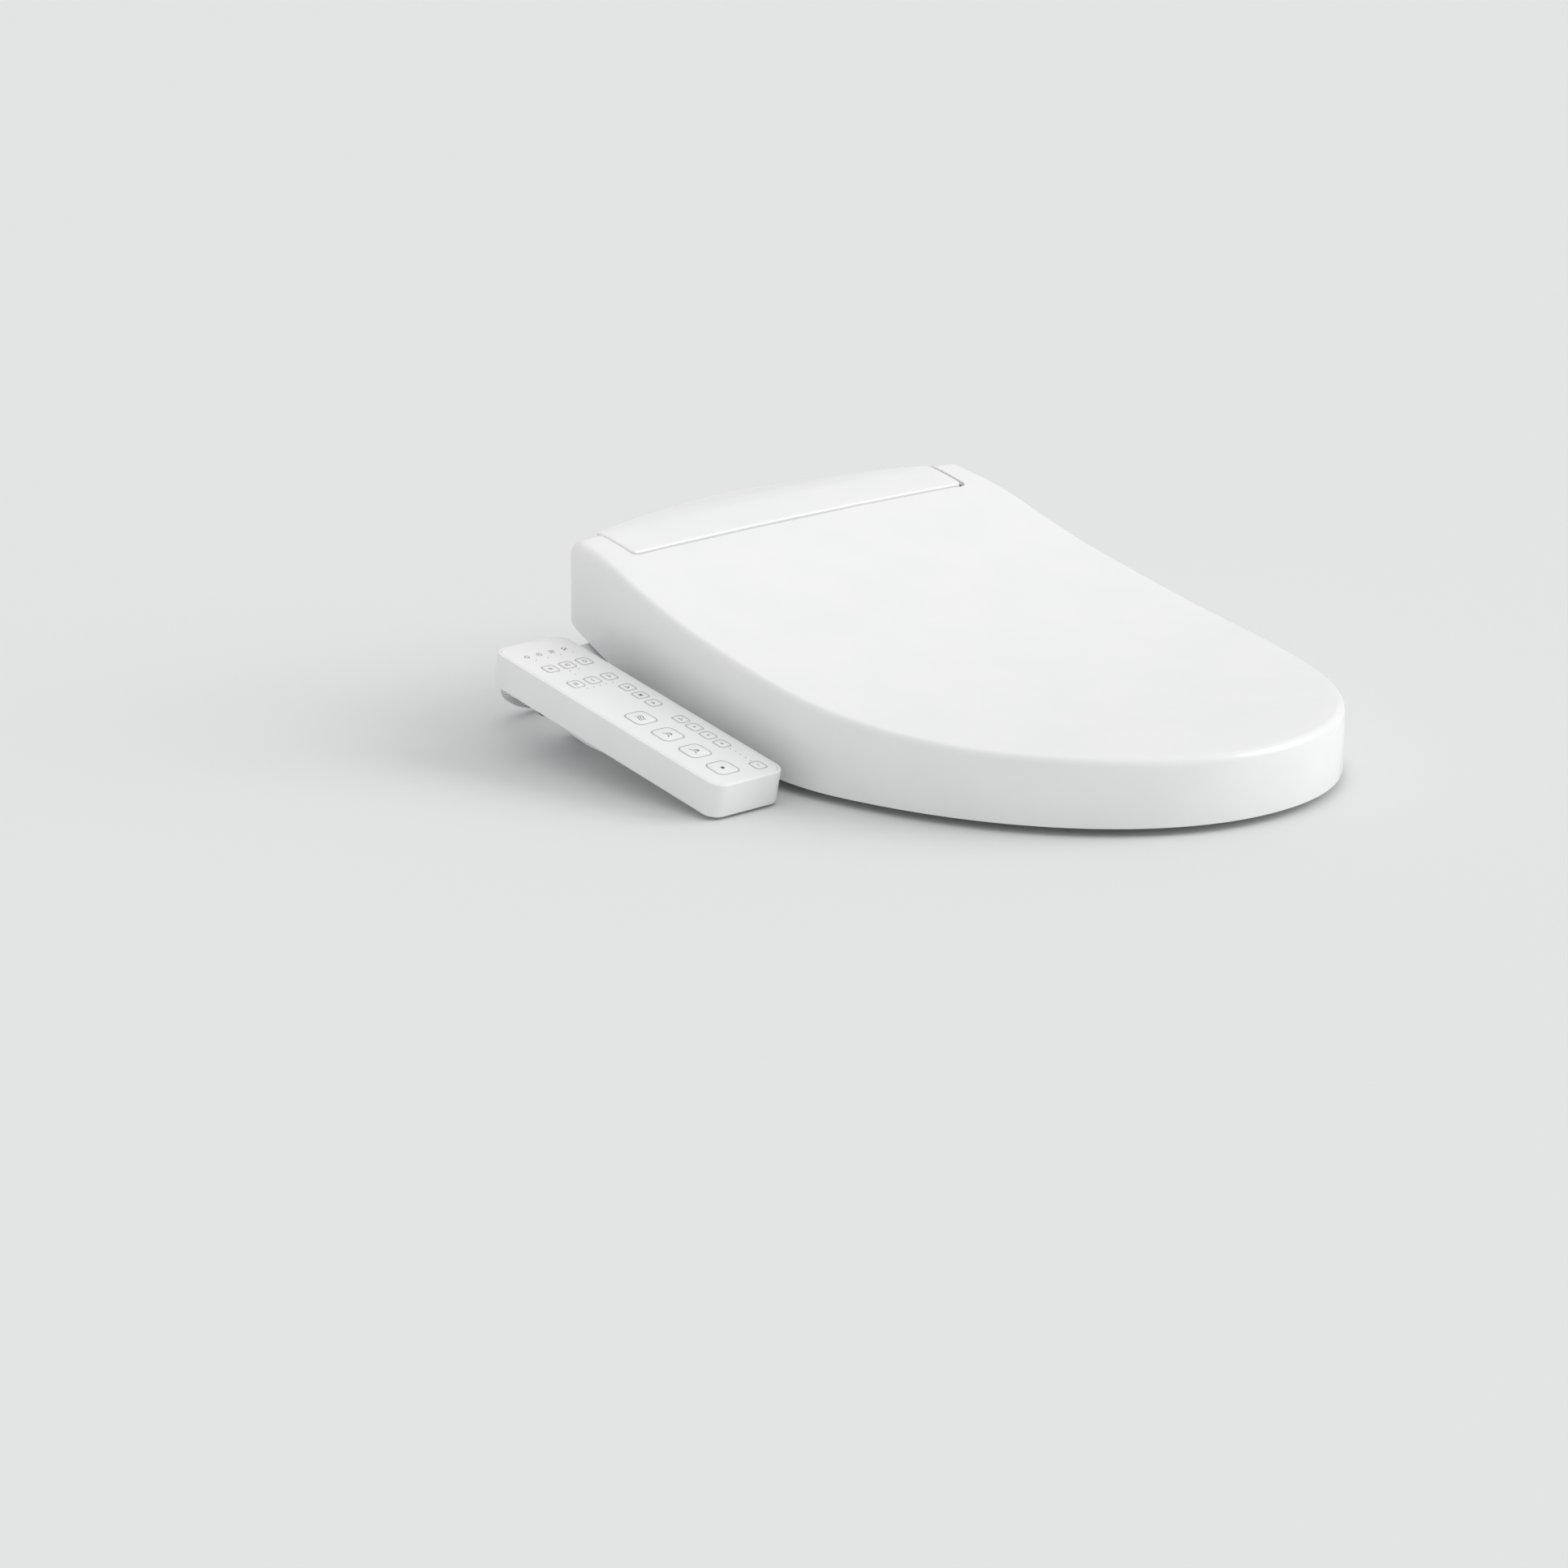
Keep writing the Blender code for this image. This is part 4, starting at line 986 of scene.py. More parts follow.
@dataclass
class MainsLead:
    """The white mains lead: out of its tapered relief, down to a neat coil, and into its plug."""

    exit: Point = (0.020, 0.0992, 0.0200)
    radius: float = 0.00325
    coil_x: float = 0.053
    coil_y: float = 0.1480
    coil_radius: float = 0.033
    turns: float = 5.25
    spread: float = 0.0034
    tie_turn: float = math.radians(-35)
    plug_x: float = 0.0990
    plug_z: float = 0.0186
    length: float = 1.20

    def route(self) -> list[Vector]:
        """Give the points that the lead's middle goes through.

        Returns:
            The points from the relief to the plug.
        """
        start = Vector(self.exit)
        points = [start + Vector((0.0, 0.0015 * i, -0.00005 * i * i)) for i in range(3)]
        drop = start.z - 0.0040
        for t in (0.2, 0.4, 0.6, 0.8):
            points.append(start + Vector((0.0, 0.004 + (self.coil_y - start.y - 0.006) * t,
                                          -drop * eased(t))))
        steps = int(self.turns * 24)
        for i in range(steps + 1):
            done = self.turns * i / steps
            turn = math.pi - 2 * math.pi * done
            layer, inner = self.layer(done)
            reach = self.coil_radius + inner
            points.append(Vector((self.coil_x + reach * math.cos(turn),
                                  self.coil_y + reach * math.sin(turn), layer)))
        last = points[-1]
        for t in (0.35, 0.7, 0.9, 1.0):
            x = last.x + (self.plug_x - last.x) * t
            points.append(Vector((x, last.y + (self.coil_y + self.coil_radius - last.y) * t,
                                  last.z + (self.plug_z - last.z) * min(t * 1.1, 1.0))))
        return points

    def layer(self, done: float) -> tuple[float, float]:
        """Give the height and the sideways place of the lead after some turns.

        Args:
            done: how many turns are behind it.

        Returns:
            Its height, and how far out of the coil's middle it lies.
        """
        places = [(0.0037, 1), (0.0037, -1), (0.0103, -1), (0.0103, 1), (0.0168, 1), (0.0168, -1)]
        first = int(done)
        share = done - first
        a, b = places[min(first, 5)], places[min(first + 1, 5)]
        t = eased(max(0.0, (share - 0.55) / 0.45))
        return a[0] + (b[0] - a[0]) * t, (a[1] + (b[1] - a[1]) * t) * self.spread

    def build(self) -> None:
        """Make the lead, its tie and its plug."""
        path = smooth_path(self.route(), 520)
        lead = Maker.tube("mains_lead_cord", path, self.radius - 0.00005, CORD_WHITE, 16)
        Maker.hand_over(lead, "cord_white", "main_unit", "mains_lead", "mains_coil", "mains_tail")
        tie = self.tie()
        plug = self.plug()
        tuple(self.exit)

    def tie(self) -> bpy.types.Object:
        """Make the soft tie round the coil's turns.

        Returns:
            The tie.
        """
        out = Vector((math.cos(self.tie_turn), math.sin(self.tie_turn), 0.0))
        along = Vector((-out.y, out.x, 0.0))
        middle = Vector((self.coil_x, self.coil_y, 0.0103)) + out * self.coil_radius
        half_wide, half_high, thick, width = 0.0071, 0.0099, 0.0009, 0.004
        rings = []
        for shift, grow in ((-width, 0.0), (-width, thick), (width, thick), (width, 0.0)):
            plan = rounded(half_wide + grow, half_high + grow, 0.004 + grow, steps=6)
            rings.append([tuple(middle + along * shift + out * a + Vector((0, 0, b)))
                          for a, b in plan])
        tie = Maker.loft("coil_tie", rings, DARK_GREY, loop=True)
        return Maker.hand_over(tie, "dark_grey", "main_unit")

    def plug(self) -> bpy.types.Object:
        """Make the round earthed plug, with ribs for the fingers and two pins.

        Returns:
            The plug's body; its pins are its children.
        """
        start = Vector((self.plug_x + 0.0008, self.coil_y + self.coil_radius, self.plug_z))

        def ribs(distance: float, turn: float) -> float:
            if not 0.0285 < distance < 0.0405:
                return 1.0
            return 1.0 - 0.03 * max(0.0, math.cos(20 * turn)) ** 2

        profile = [(0.0, 0.0042), (0.0004, 0.0047), (0.0035, 0.0049), (0.0038, 0.0044),
                   (0.0048, 0.0044), (0.0051, 0.0051), (0.0085, 0.0053), (0.0088, 0.0048),
                   (0.0098, 0.0048), (0.0101, 0.0056), (0.0140, 0.0060), (0.0180, 0.0085),
                   (0.0220, 0.0130), (0.0250, 0.0168), (0.0275, 0.0182), (0.0285, 0.0183),
                   (0.0300, 0.0183), (0.0390, 0.0183), (0.0405, 0.0183), (0.0470, 0.0183),
                   (0.0478, 0.0179), (0.0480, 0.0172)]
        plug = Maker.turned("mains_plug_body", profile, start, (1, 0, 0), CORD_WHITE, 120, ribs)
        for n, side in enumerate((1, -1), 1):
            pin = [(0.0, 0.0024), (0.0175, 0.0024), (0.0186, 0.0019), (0.0190, 0.0010)]
            made = Maker.turned(f"mains_plug_pin_{n}", pin, start + Vector((0.0479, side * 0.0095, 0)),
                                (1, 0, 0), CHROME, 24)
            made.parent = plug
        return Maker.stand_for(plug, "main_unit", "mains_plug")


# ---- lid and top plate -----------------------------------------------------------------------
@dataclass
class Lid:
    """The lid: one glossy moulding with a rolled edge, ears beside the plate and hinge lugs."""

    wall: float = 0.0035
    edge: float = 0.0055
    ear_extra: float = 0.0045
    ear_x: float = 0.1606
    cut_front_y: float = -0.0005
    cut_radius: float = 0.0050
    relief_x: float = 0.1715
    relief_front_y: float = 0.024
    relief_top_z: float = 0.116
    lug_x: tuple[float, float] = (0.172, 0.180)
    lug_root_y: tuple[float, float] = (0.0205, 0.0285)
    lug_root_z: float = 0.1248

    def rolled_edge(self, y: float) -> float:
        """Give the radius of the lid's edge at Y, which grows round the rear corners."""
        t = min(max((y + 0.030) / 0.060, 0.0), 1.0)
        return self.edge + self.ear_extra * eased(t)

    def build(self) -> None:
        """Make the lid with its window for the plate and its hinge lugs."""
        rings = FORM.shell(FORM.outline(), FORM.skirt, 0.0, self.wall, self.rolled_edge,
                           (0.0, -0.15))
        lid = Maker.loft("lid_shell", rings, GLOSS_WHITE, fans=True)
        reach, under, beyond = 0.15, -0.03, 0.2
        window = rounded(self.ear_x, reach, self.cut_radius, (0.0, self.cut_front_y + reach), 10)
        relief = Maker.block("rear_relief", (-self.relief_x, self.relief_front_y, under),
                             (self.relief_x, beyond, self.relief_top_z))
        Maker.combine(lid, [Maker.prism("plate_window", window, under, beyond), relief])
        for sign in (1, -1):
            x0, x1 = sorted((sign * self.lug_x[0], sign * self.lug_x[1]))
            profile = [(y, self.lug_root_z) for y in self.lug_root_y] + FORM.arc(50, -170)
            Maker.combine(lid, [side_solid("lug", profile, x0, x1)], "UNION")
            Maker.combine(lid, [FORM.bore(x0 - 0.003, x1 + 0.003)])
        Maker.smooth(lid)
        Maker.hand_over(lid, "gloss_white", "lid", "lid")


@dataclass
class TopPlate:
    """The fixed plate between the lid's ears, which carries the lid's surface to the rear."""

    half: float = 0.1586
    front_y: float = 0.0035
    depth: float = 0.008
    corner: float = 0.0038
    edge: float = 0.0016

    def plan(self) -> Plan:
        """Draw the plate's outline.

        Returns:
            The outline, from the middle of the front round by +X.
        """
        half: Plan = [((self.half - self.corner) * i / 24, self.front_y) for i in range(24)]
        half += front_corner(self.half, self.front_y, self.corner)
        rear = FORM.rear_edge(self.half) - 0.0006
        first = self.front_y + self.corner
        half += [(self.half, first + (rear - 0.0015 - first) * i / 8) for i in range(1, 9)]
        half.append((self.half - 0.0006, rear))
        half += [(x, FORM.rear_edge(x))
                 for x in ((self.half - 0.002) * (1 - i / 40) for i in range(1, 41))]
        return mirrored(half)

    def build(self) -> None:
        """Make the plate."""
        plan, middle = self.plan(), (0.0, 0.036)
        scales = (0.05, 0.2, 0.35, 0.5, 0.65, 0.78, 0.88, 0.95)
        levels = [(0.0004, scale, self.depth) for scale in (*scales, 1.0)]
        levels.append((0.0, 1.0, self.depth - 0.0004))
        levels += [(self.edge * (1 - math.cos(turn)), 1.0, self.edge * (1 - math.sin(turn)))
                   for turn in quarter(5)]
        levels += [(self.edge, scale, 0.0) for scale in reversed(scales)]
        rings = [[(x, y, FORM.height(x, y) - down)
                  for x, y in scaled(drawn_in(plan, inset), middle, scale)]
                 for inset, scale, down in levels]
        plate = Maker.loft("rear_top_plate", rings, GLOSS_WHITE, fans=True)
        Maker.hand_over(plate, "gloss_white", "main_unit", "top_plate")


# ---- seat ------------------------------------------------------------------------------------
@dataclass
class Seat:
    """The heated ring: an upper and a lower moulding, with a hinge arm at each side."""

    inset: float = 0.0065
    split_z: float = 0.0105
    under_z: float = 0.006
    gap: float = 0.0004
    crest_z: float = 0.029
    slope: float = 0.045
    shoulder: float = 0.0062
    shoulder_low: float = 0.0105
    shoulder_rise: float = 0.0085
    crest_share: float = 0.35
    inner_start: float = 0.70
    inner_span: float = 0.30
    inner_drop: float = 0.0120
    rear_y: float = -0.024
    hole_y: float = -0.237
    hole_x: float = 0.108
    hole_length: float = 0.138
    bay_half: float = 0.1545
    bay_front_y: float = -0.0645
    bay_corner: float = 0.008
    nozzle_bay_y: tuple[float, float] = (-0.110, -0.05)
    bridge_half: float = 0.066
    bridge_z: float = 0.027
    arm_x: tuple[float, float] = (0.162, 0.170)

    def crest(self, y: float) -> float:
        """Give the height of the ring's crest."""
        return self.crest_z + self.slope * (y - FORM.front_y)

    def edges(self, inward: float) -> tuple[Plan, Plan]:
        """Give matching points of the ring's outer and inner edges.

        Args:
            inward: how far each edge is moved into the ring.

        Returns:
            The outer and the inner points.
        """
        outer = [(x, min(y, self.rear_y)) for x, y in FORM.outline(self.inset + inward, 4)]
        inner = []
        for x, y in outer:
            turn = math.atan2(x / (FORM.half_width - self.inset), -(y - self.hole_y) / 0.2)
            inner.append((math.sin(turn) * (self.hole_x + inward),
                          self.hole_y - math.cos(turn) * (self.hole_length + inward)))
        return outer, inner

    def ring(self, name: str, levels: Sequence[tuple[float, float, Callable[[float], float]]],
             finish: Finish) -> bpy.types.Object:
        """Skin a ring from the corners of its section, and cut the unit's bay from it.

        Args:
            name: the ring's name.
            levels: inset, share of the way across, and height at Y, of each corner.
            finish: what it is dressed in.

        Returns:
            The ring.
        """
        rings = []
        for inward, share, height in levels:
            outer, inner = self.edges(inward)
            rings.append([(a[0] + (b[0] - a[0]) * share, a[1] + (b[1] - a[1]) * share,
                           height(a[1] + (b[1] - a[1]) * share)) for a, b in zip(outer, inner)])
        made = Maker.loft(name, rings, finish, loop=True)
        reach, under, beyond = 0.12, -0.02, 0.2
        bay = rounded(self.bay_half, reach, self.bay_corner, (0.0, self.bay_front_y + reach), 8)
        nozzle_bay = Maker.block("nozzle_bay", (-self.bridge_half, self.nozzle_bay_y[0], under),
                                 (self.bridge_half, self.nozzle_bay_y[1], self.bridge_z))
        Maker.combine(made, [Maker.prism("unit_bay", bay, under, beyond), nozzle_bay])
        Maker.smooth(made)
        return made

    def build(self) -> None:
        """Make the ring's two mouldings and the hinge arms."""
        def flat(z: float) -> Callable[[float], float]:
            return lambda y: z

        def below(down: float) -> Callable[[float], float]:
            return lambda y: self.crest(y) - down

        levels = [(0.0, 0.0, flat(self.split_z)), (0.0, 0.0, below(self.shoulder_low))]
        # the outer shoulder is a quarter round, the crest is nearly flat, and the inner side falls
        levels += [(self.shoulder * (1 - math.cos(turn)), 0.0,
                    below(self.shoulder_low - self.shoulder_rise * math.sin(turn)))
                   for turn in quarter(6, 1)]
        levels += [(self.shoulder * (1 - t), self.crest_share * t, below(0.0020 * (1 - t) ** 2))
                   for t in (0.25, 0.5, 0.75, 1.0)]
        levels += [(0.0, self.crest_share + self.crest_share * t, below(0.0010 * t * t))
                   for t in (0.33, 0.66, 1.0)]
        for i in range(1, 9):
            t = i / 8
            levels.append((self.shoulder * math.sin(math.pi * t) ** 0.8 * self.crest_share,
                           self.inner_start + self.inner_span * math.sin(math.pi / 2 * t),
                           below(0.0010 + self.inner_drop * (1 - math.cos(math.pi / 2 * t)))))
        levels.append((0.0, 1.0, flat(self.split_z)))
        top = self.ring("seat_ring_top", levels, GLOSS_WHITE)
        Maker.hand_over(top, "gloss_white", "seat", "seat_top")
        lip = 0.0008
        base = self.ring("seat_ring_base",
                         [(lip, 0.0, flat(self.under_z)), (0.0, 0.0, flat(self.under_z + lip)),
                          (0.0, 0.0, flat(self.split_z - self.gap)),
                          (0.0, 1.0, flat(self.split_z - self.gap)),
                          (0.0, 1.0, flat(self.under_z + lip)), (lip, 1.0, flat(self.under_z))],
                         SATIN_WHITE)
        Maker.hand_over(base, "satin_white", "seat", "seat_base")
        foot = self.crest(-0.05)
        for side, sign in (("left", 1), ("right", -1)):
            x0, x1 = sorted((sign * self.arm_x[0], sign * self.arm_x[1]))
            profile = [(-0.058, foot + self.gap), (-0.030, foot + self.gap), (-0.004, 0.058),
                       *FORM.arc(-40, 140), (-0.004, 0.076), (-0.036, 0.058)]
            arm = Maker.soften(side_solid(f"seat_hinge_arm_{side}", profile, x0, x1, SATIN_WHITE),
                               0.0008, 2, 60)
            Maker.combine(arm, [FORM.bore(x0 - 0.003, x1 + 0.003)])
            Maker.hand_over(arm, "satin_white", "seat", f"seat_arm_{side}")


# ---- main unit -------------------------------------------------------------------------------
@dataclass
class MainUnit:
    """The casing behind the seat, with the root that carries the control arm."""

    half: float = 0.150
    front_y: float = -0.060
    floor_z: float = 0.0055
    split_z: float = 0.050
    wall: float = 0.0025
    gap: float = 0.0004
    corner: float = 0.010
    cover: float = 0.0089
    wand_tip: Point = (0.0, -0.0615, 0.0165)
    wand_angle: float = math.radians(32.0)
    root_y: tuple[float, float] = (-0.014, 0.022)
    root_x: float = -0.2115
    wand_port: float = 0.0085
    dryer_port_x: tuple[float, float] = (-0.060, -0.030)
    dryer_port_z: tuple[float, float] = (0.0095, 0.0225)
    root_port_z: tuple[float, float] = (0.0087, 0.0405)
    root_port_inset: float = 0.0025
    bolt_x: float = 0.0725
    bolt_hole: float = 0.016
    bolt_corner: float = 0.008

    def plan(self, inset: float = 0.0) -> Plan:
        """Draw the casing's outline.

        Args:
            inset: how far it is drawn in.

        Returns:
            The outline, from the middle of the front round by +X.
        """
        half: Plan = [(0.014 * i, self.front_y) for i in range(10)]
        half += front_corner(self.half, self.front_y, self.corner)
        rear = FORM.rear_y - 0.003
        side = rear - self.half**2 / (2 * FORM.rear_radius)
        first = self.front_y + self.corner
        half += [(self.half, first + (side - 0.008 - first) * i / 8) for i in range(1, 9)]
        turned_x = self.half - 0.010
        half += curved((half[-1], (self.half, side + 0.001),
                        (turned_x, rear - turned_x ** 2 / (2 * FORM.rear_radius))), 5)
        half += [(x, rear - x * x / (2 * FORM.rear_radius))
                 for x in (turned_x * (1 - i / 24) for i in range(1, 25))]
        plan = mirrored(half)
        return drawn_in(plan, inset) if inset else plan

    def build(self) -> None:
        """Make both casings and the arm's root."""
        self.upper()
        self.lower()
        self.root()

    def upper(self) -> None:
        """Make the upper casing, open below."""
        rings = FORM.shell(self.plan(), lambda y: self.split_z, self.cover, self.wall,
                           lambda y: 0.004, (0.0, 0.005))
        casing = Maker.loft("upper_casing_shell", rings, GLOSS_WHITE, fans=True)
        for sign in (1, -1):
            x0, x1 = sorted((sign * 0.140, sign * 0.160))
            Maker.combine(casing, [FORM.bore(x0, x1, 0.0006)])
        Maker.hand_over(casing, "gloss_white", "main_unit", "upper_casing")

    def lower(self) -> None:
        """Make the lower casing, open above, with the wand's and the dryer's ports."""
        rings = []
        lip, top = 0.0018, self.split_z - self.gap
        for inset, z in ((self.wall, self.floor_z + self.wall), (self.wall, top),
                         (0.0003, top), (0.0, top - 0.0004), (0.0, self.floor_z + lip),
                         (lip * 0.13, self.floor_z + lip * 0.5), (lip * 0.5, self.floor_z + lip * 0.13),
                         (lip, self.floor_z)):
            rings.append([(x, y, z) for x, y in self.plan(inset)])
        casing = Maker.loft("lower_casing_shell", rings, SATIN_WHITE)
        along = Vector((0.0, -math.cos(self.wand_angle), -math.sin(self.wand_angle)))
        reach, through = 0.03, 0.01
        start = Vector(self.wand_tip) - along * reach
        tools = [Maker.turned("wand_port", [(0.0, self.wand_port), (2 * reach, self.wand_port)],
                              start, along, None, 40),
                 Maker.block("dryer_port", (self.dryer_port_x[0], self.front_y - through,
                                            self.dryer_port_z[0]),
                             (self.dryer_port_x[1], self.front_y + through, self.dryer_port_z[1])),
                 Maker.block("root_port", (-self.half - through, self.root_y[0] + self.root_port_inset,
                                           self.root_port_z[0]),
                             (-self.half + through, self.root_y[1] - self.root_port_inset,
                              self.root_port_z[1]))]
        tools += [Maker.prism("bolt_hole", rounded(self.bolt_hole, self.bolt_hole, self.bolt_corner,
                                                   (sign * self.bolt_x, 0.0)), -through, 2 * through)
                  for sign in (1, -1)]
        Maker.combine(casing, tools)
        Maker.hand_over(casing, "satin_white", "main_unit", "lower_casing")

    def root(self) -> None:
        """Make the root of the control arm, whose top follows the lid's swept-up edge."""
        front, rear = self.root_y
        profile = [(rear, self.floor_z + 0.0005)]
        profile += [(rear + (front - rear) * i / 12, FORM.skirt(rear + (front - rear) * i / 12)
                     - 0.0035) for i in range(13)]
        profile.append((front, self.floor_z + 0.0005))
        root = side_solid("control_arm_root", profile, self.root_x, -self.half - 0.0006, SATIN_WHITE)
        Maker.soften(root, 0.0035, 5, 30)
        Maker.hand_over(root, "satin_white", "main_unit")


# ---- control arm -----------------------------------------------------------------------------
class Mark(Enum):
    """What is printed on a key or beside it."""

    SQUARE = "square"
    JET = "jet"
    FOUNTAIN = "fountain"
    WAVES = "waves"
    MINUS = "minus"
    PLUS = "plus"
    LEFT = "left"
    RIGHT = "right"
    SWEEP = "sweep"
    PULSE = "pulse"
    FAN = "fan"
    DROPS = "drops"
    POWER = "power"
    CLOCK = "clock"
    LEAF = "leaf"
    BAR = "bar"
    TWO_BARS = "two_bars"
    RING = "ring"


@dataclass(frozen=True)
class Key:
    """One key: its body and node, its place on the arm, its half sizes and its mark."""

    name: str
    x: float
    y: float
    half_x: float
    half_y: float
    mark: Mark


class Printer:
    """Draws generic marks as flat strokes in a key's own plane, in units of its scale."""

    def __init__(self, name: str, middle: tuple[float, float], level: float, scale: float) -> None:
        """Start a drawing.

        Args:
            name: the drawing's name.
            middle: where its middle is on the arm.
            level: the height that it is printed at.
            scale: how large a unit of the mark is, in metres.
        """
        self.name, self.middle, self.level, self.scale = name, middle, level, scale
        self.thick = 0.00005
        self.vertices: list[Point] = []
        self.faces: list[Sequence[int]] = []

    def place(self, x: float, y: float, z: float) -> Point:
        """Give a mark's point on the arm; a mark reads from the arm's outer side."""
        return (self.middle[0] - y * self.scale, self.middle[1] + x * self.scale, z)

    def ribbon(self, points: Sequence[tuple[float, float]], width: float, closed: bool = False) -> None:
        """Draw a line of one width.

        Args:
            points: the line's points.
            width: its width.
            closed: whether it joins its own start.
        """
        count, first = len(points), len(self.vertices)
        for i, (x, y) in enumerate(points):
            ax, ay = points[(i - 1) % count] if closed or i else points[0]
            bx, by = points[(i + 1) % count] if closed or i < count - 1 else points[-1]
            length = math.hypot(bx - ax, by - ay) or 1.0
            nx, ny = -(by - ay) / length * width / 2, (bx - ax) / length * width / 2
            for sx, sy, z in ((nx, ny, 0.0), (-nx, -ny, 0.0), (-nx, -ny, self.thick),
                              (nx, ny, self.thick)):
                self.vertices.append(self.place(x + sx, y + sy, self.level + z))
        for i in range(count if closed else count - 1):
            a, b = first + 4 * i, first + 4 * ((i + 1) % count)
            self.faces += [(a + k, a + (k + 1) % 4, b + (k + 1) % 4, b + k) for k in range(4)]
        if not closed:
            last = first + 4 * (count - 1)
            self.faces += [(first, first + 1, first + 2, first + 3),
                           (last, last + 1, last + 2, last + 3)]

    def patch(self, points: Sequence[tuple[float, float]]) -> None:
        """Fill an outline."""
        count, first = len(points), len(self.vertices)
        for z in (0.0, self.thick):
            self.vertices += [self.place(x, y, self.level + z) for x, y in points]
        self.faces += [range(first, first + count), range(first + count, first + 2 * count)]
        self.faces += [(first + i, first + (i + 1) % count, first + count + (i + 1) % count,
                        first + count + i) for i in range(count)]

    def circle(self, x: float, y: float, radius: float, first: float = 0.0, last: float = 360.0,
               steps: int = 20) -> list[tuple[float, float]]:
        """Give the points of a circle or an arc, between two angles in degrees."""
        whole = last - first >= 360.0
        turns = [math.radians(first + (last - first) * i / steps)
                 for i in range(steps if whole else steps + 1)]
        return [(x + radius * math.cos(t), y + radius * math.sin(t)) for t in turns]

    def draw(self, mark: Mark) -> None:
        """Draw one of the generic marks.

        Args:
            mark: which one.
        """
        line = 0.24
        if mark is Mark.SQUARE:
            self.patch([(-0.62, -0.62), (0.62, -0.62), (0.62, 0.62), (-0.62, 0.62)])
        elif mark in (Mark.JET, Mark.FOUNTAIN):
            self.ribbon([(-1.6, 1.1), (-0.9, 0.45), (0.1, 0.2), (1.0, 0.45), (1.6, 1.1)], line)
            reach = 1.0 if mark is Mark.JET else 0.75
            for x in (-reach, 0.0, reach):
                self.ribbon([(x * 0.3, -1.5), (x * 0.75, -0.75), (x, -0.2)], line)
        elif mark is Mark.WAVES:
            for y in (-0.9, 0.0, 0.9):
                self.ribbon([(-1.5 + 0.25 * i, y + 0.32 * math.sin(0.25 * i * 2.1))
                             for i in range(13)], line)
        elif mark in (Mark.MINUS, Mark.PLUS):
            self.ribbon([(-1.0, 0.0), (1.0, 0.0)], 0.3)
            if mark is Mark.PLUS:
                self.ribbon([(0.0, -1.0), (0.0, 1.0)], 0.3)
        elif mark in (Mark.LEFT, Mark.RIGHT):
            way = 1.0 if mark is Mark.RIGHT else -1.0
            self.patch([(-0.5 * way, -0.75 * way), (0.75 * way, 0.0), (-0.5 * way, 0.75 * way)])
        elif mark is Mark.SWEEP:
            self.ribbon([(-1.3, 0.5), (1.3, 0.5)], line)
            self.ribbon([(-0.8, 0.0), (-1.4, 0.5), (-0.8, 1.0)], line)
            self.ribbon([(0.8, 0.0), (1.4, 0.5), (0.8, 1.0)], line)
            self.ribbon([(0.0, -1.2), (0.0, 0.0)], line)
        elif mark is Mark.PULSE:
            for radius in (0.6, 1.15, 1.7):
                self.ribbon(self.circle(0.0, -0.9, radius, 40, 140, 10), line)
        elif mark is Mark.FAN:
            for k in range(4):
                turn = math.radians(45 + 90 * k)
                cx, cy = 0.85 * math.cos(turn), 0.85 * math.sin(turn)
                self.patch(self.circle(cx, cy, 0.5, steps=12))
            self.patch(self.circle(0.0, 0.0, 0.28, steps=12))
        elif mark is Mark.DROPS:
            for x, y in ((-0.8, 0.5), (0.8, 0.5), (0.0, -0.8)):
                self.patch([(x, y + 0.85), *self.circle(x, y, 0.42, -200, 20, 10)])
        elif mark is Mark.POWER:
            self.ribbon(self.circle(0.0, -0.1, 1.15, -235, 55, 18), line)
            self.ribbon([(0.0, 0.2), (0.0, 1.4)], line)
        elif mark is Mark.CLOCK:
            self.ribbon(self.circle(0.0, 0.0, 1.2), line, closed=True)
            self.ribbon([(0.0, 0.8), (0.0, 0.0), (0.6, -0.3)], line)
        elif mark is Mark.LEAF:
            self.ribbon([(-1.1, -1.1), (-0.2, -0.2), (1.0, 1.0)], line)
            self.ribbon([(-0.7, -0.7), (-0.8, 0.5), (1.0, 1.0), (0.5, -0.8), (-0.7, -0.7)], line)
        elif mark is Mark.BAR:
            self.ribbon([(-1.5, 0.0), (1.5, 0.0)], 0.34)
        elif mark is Mark.TWO_BARS:
            self.ribbon([(-1.5, 0.45), (1.5, 0.45)], 0.3)
            self.ribbon([(-1.0, -0.45), (1.0, -0.45)], 0.3)
        elif mark is Mark.RING:
            self.ribbon(self.circle(0.0, 0.0, 1.0), 0.3, closed=True)

    def finish(self, finish: Finish, frame: Matrix) -> bpy.types.Object:
        """Make the drawing's mesh.

        Args:
            finish: the ink.
            frame: the arm's frame.

        Returns:
            The drawing.
        """
        made = Maker.mesh(self.name, self.vertices, self.faces, finish)
        made.data.transform(frame)
        return made


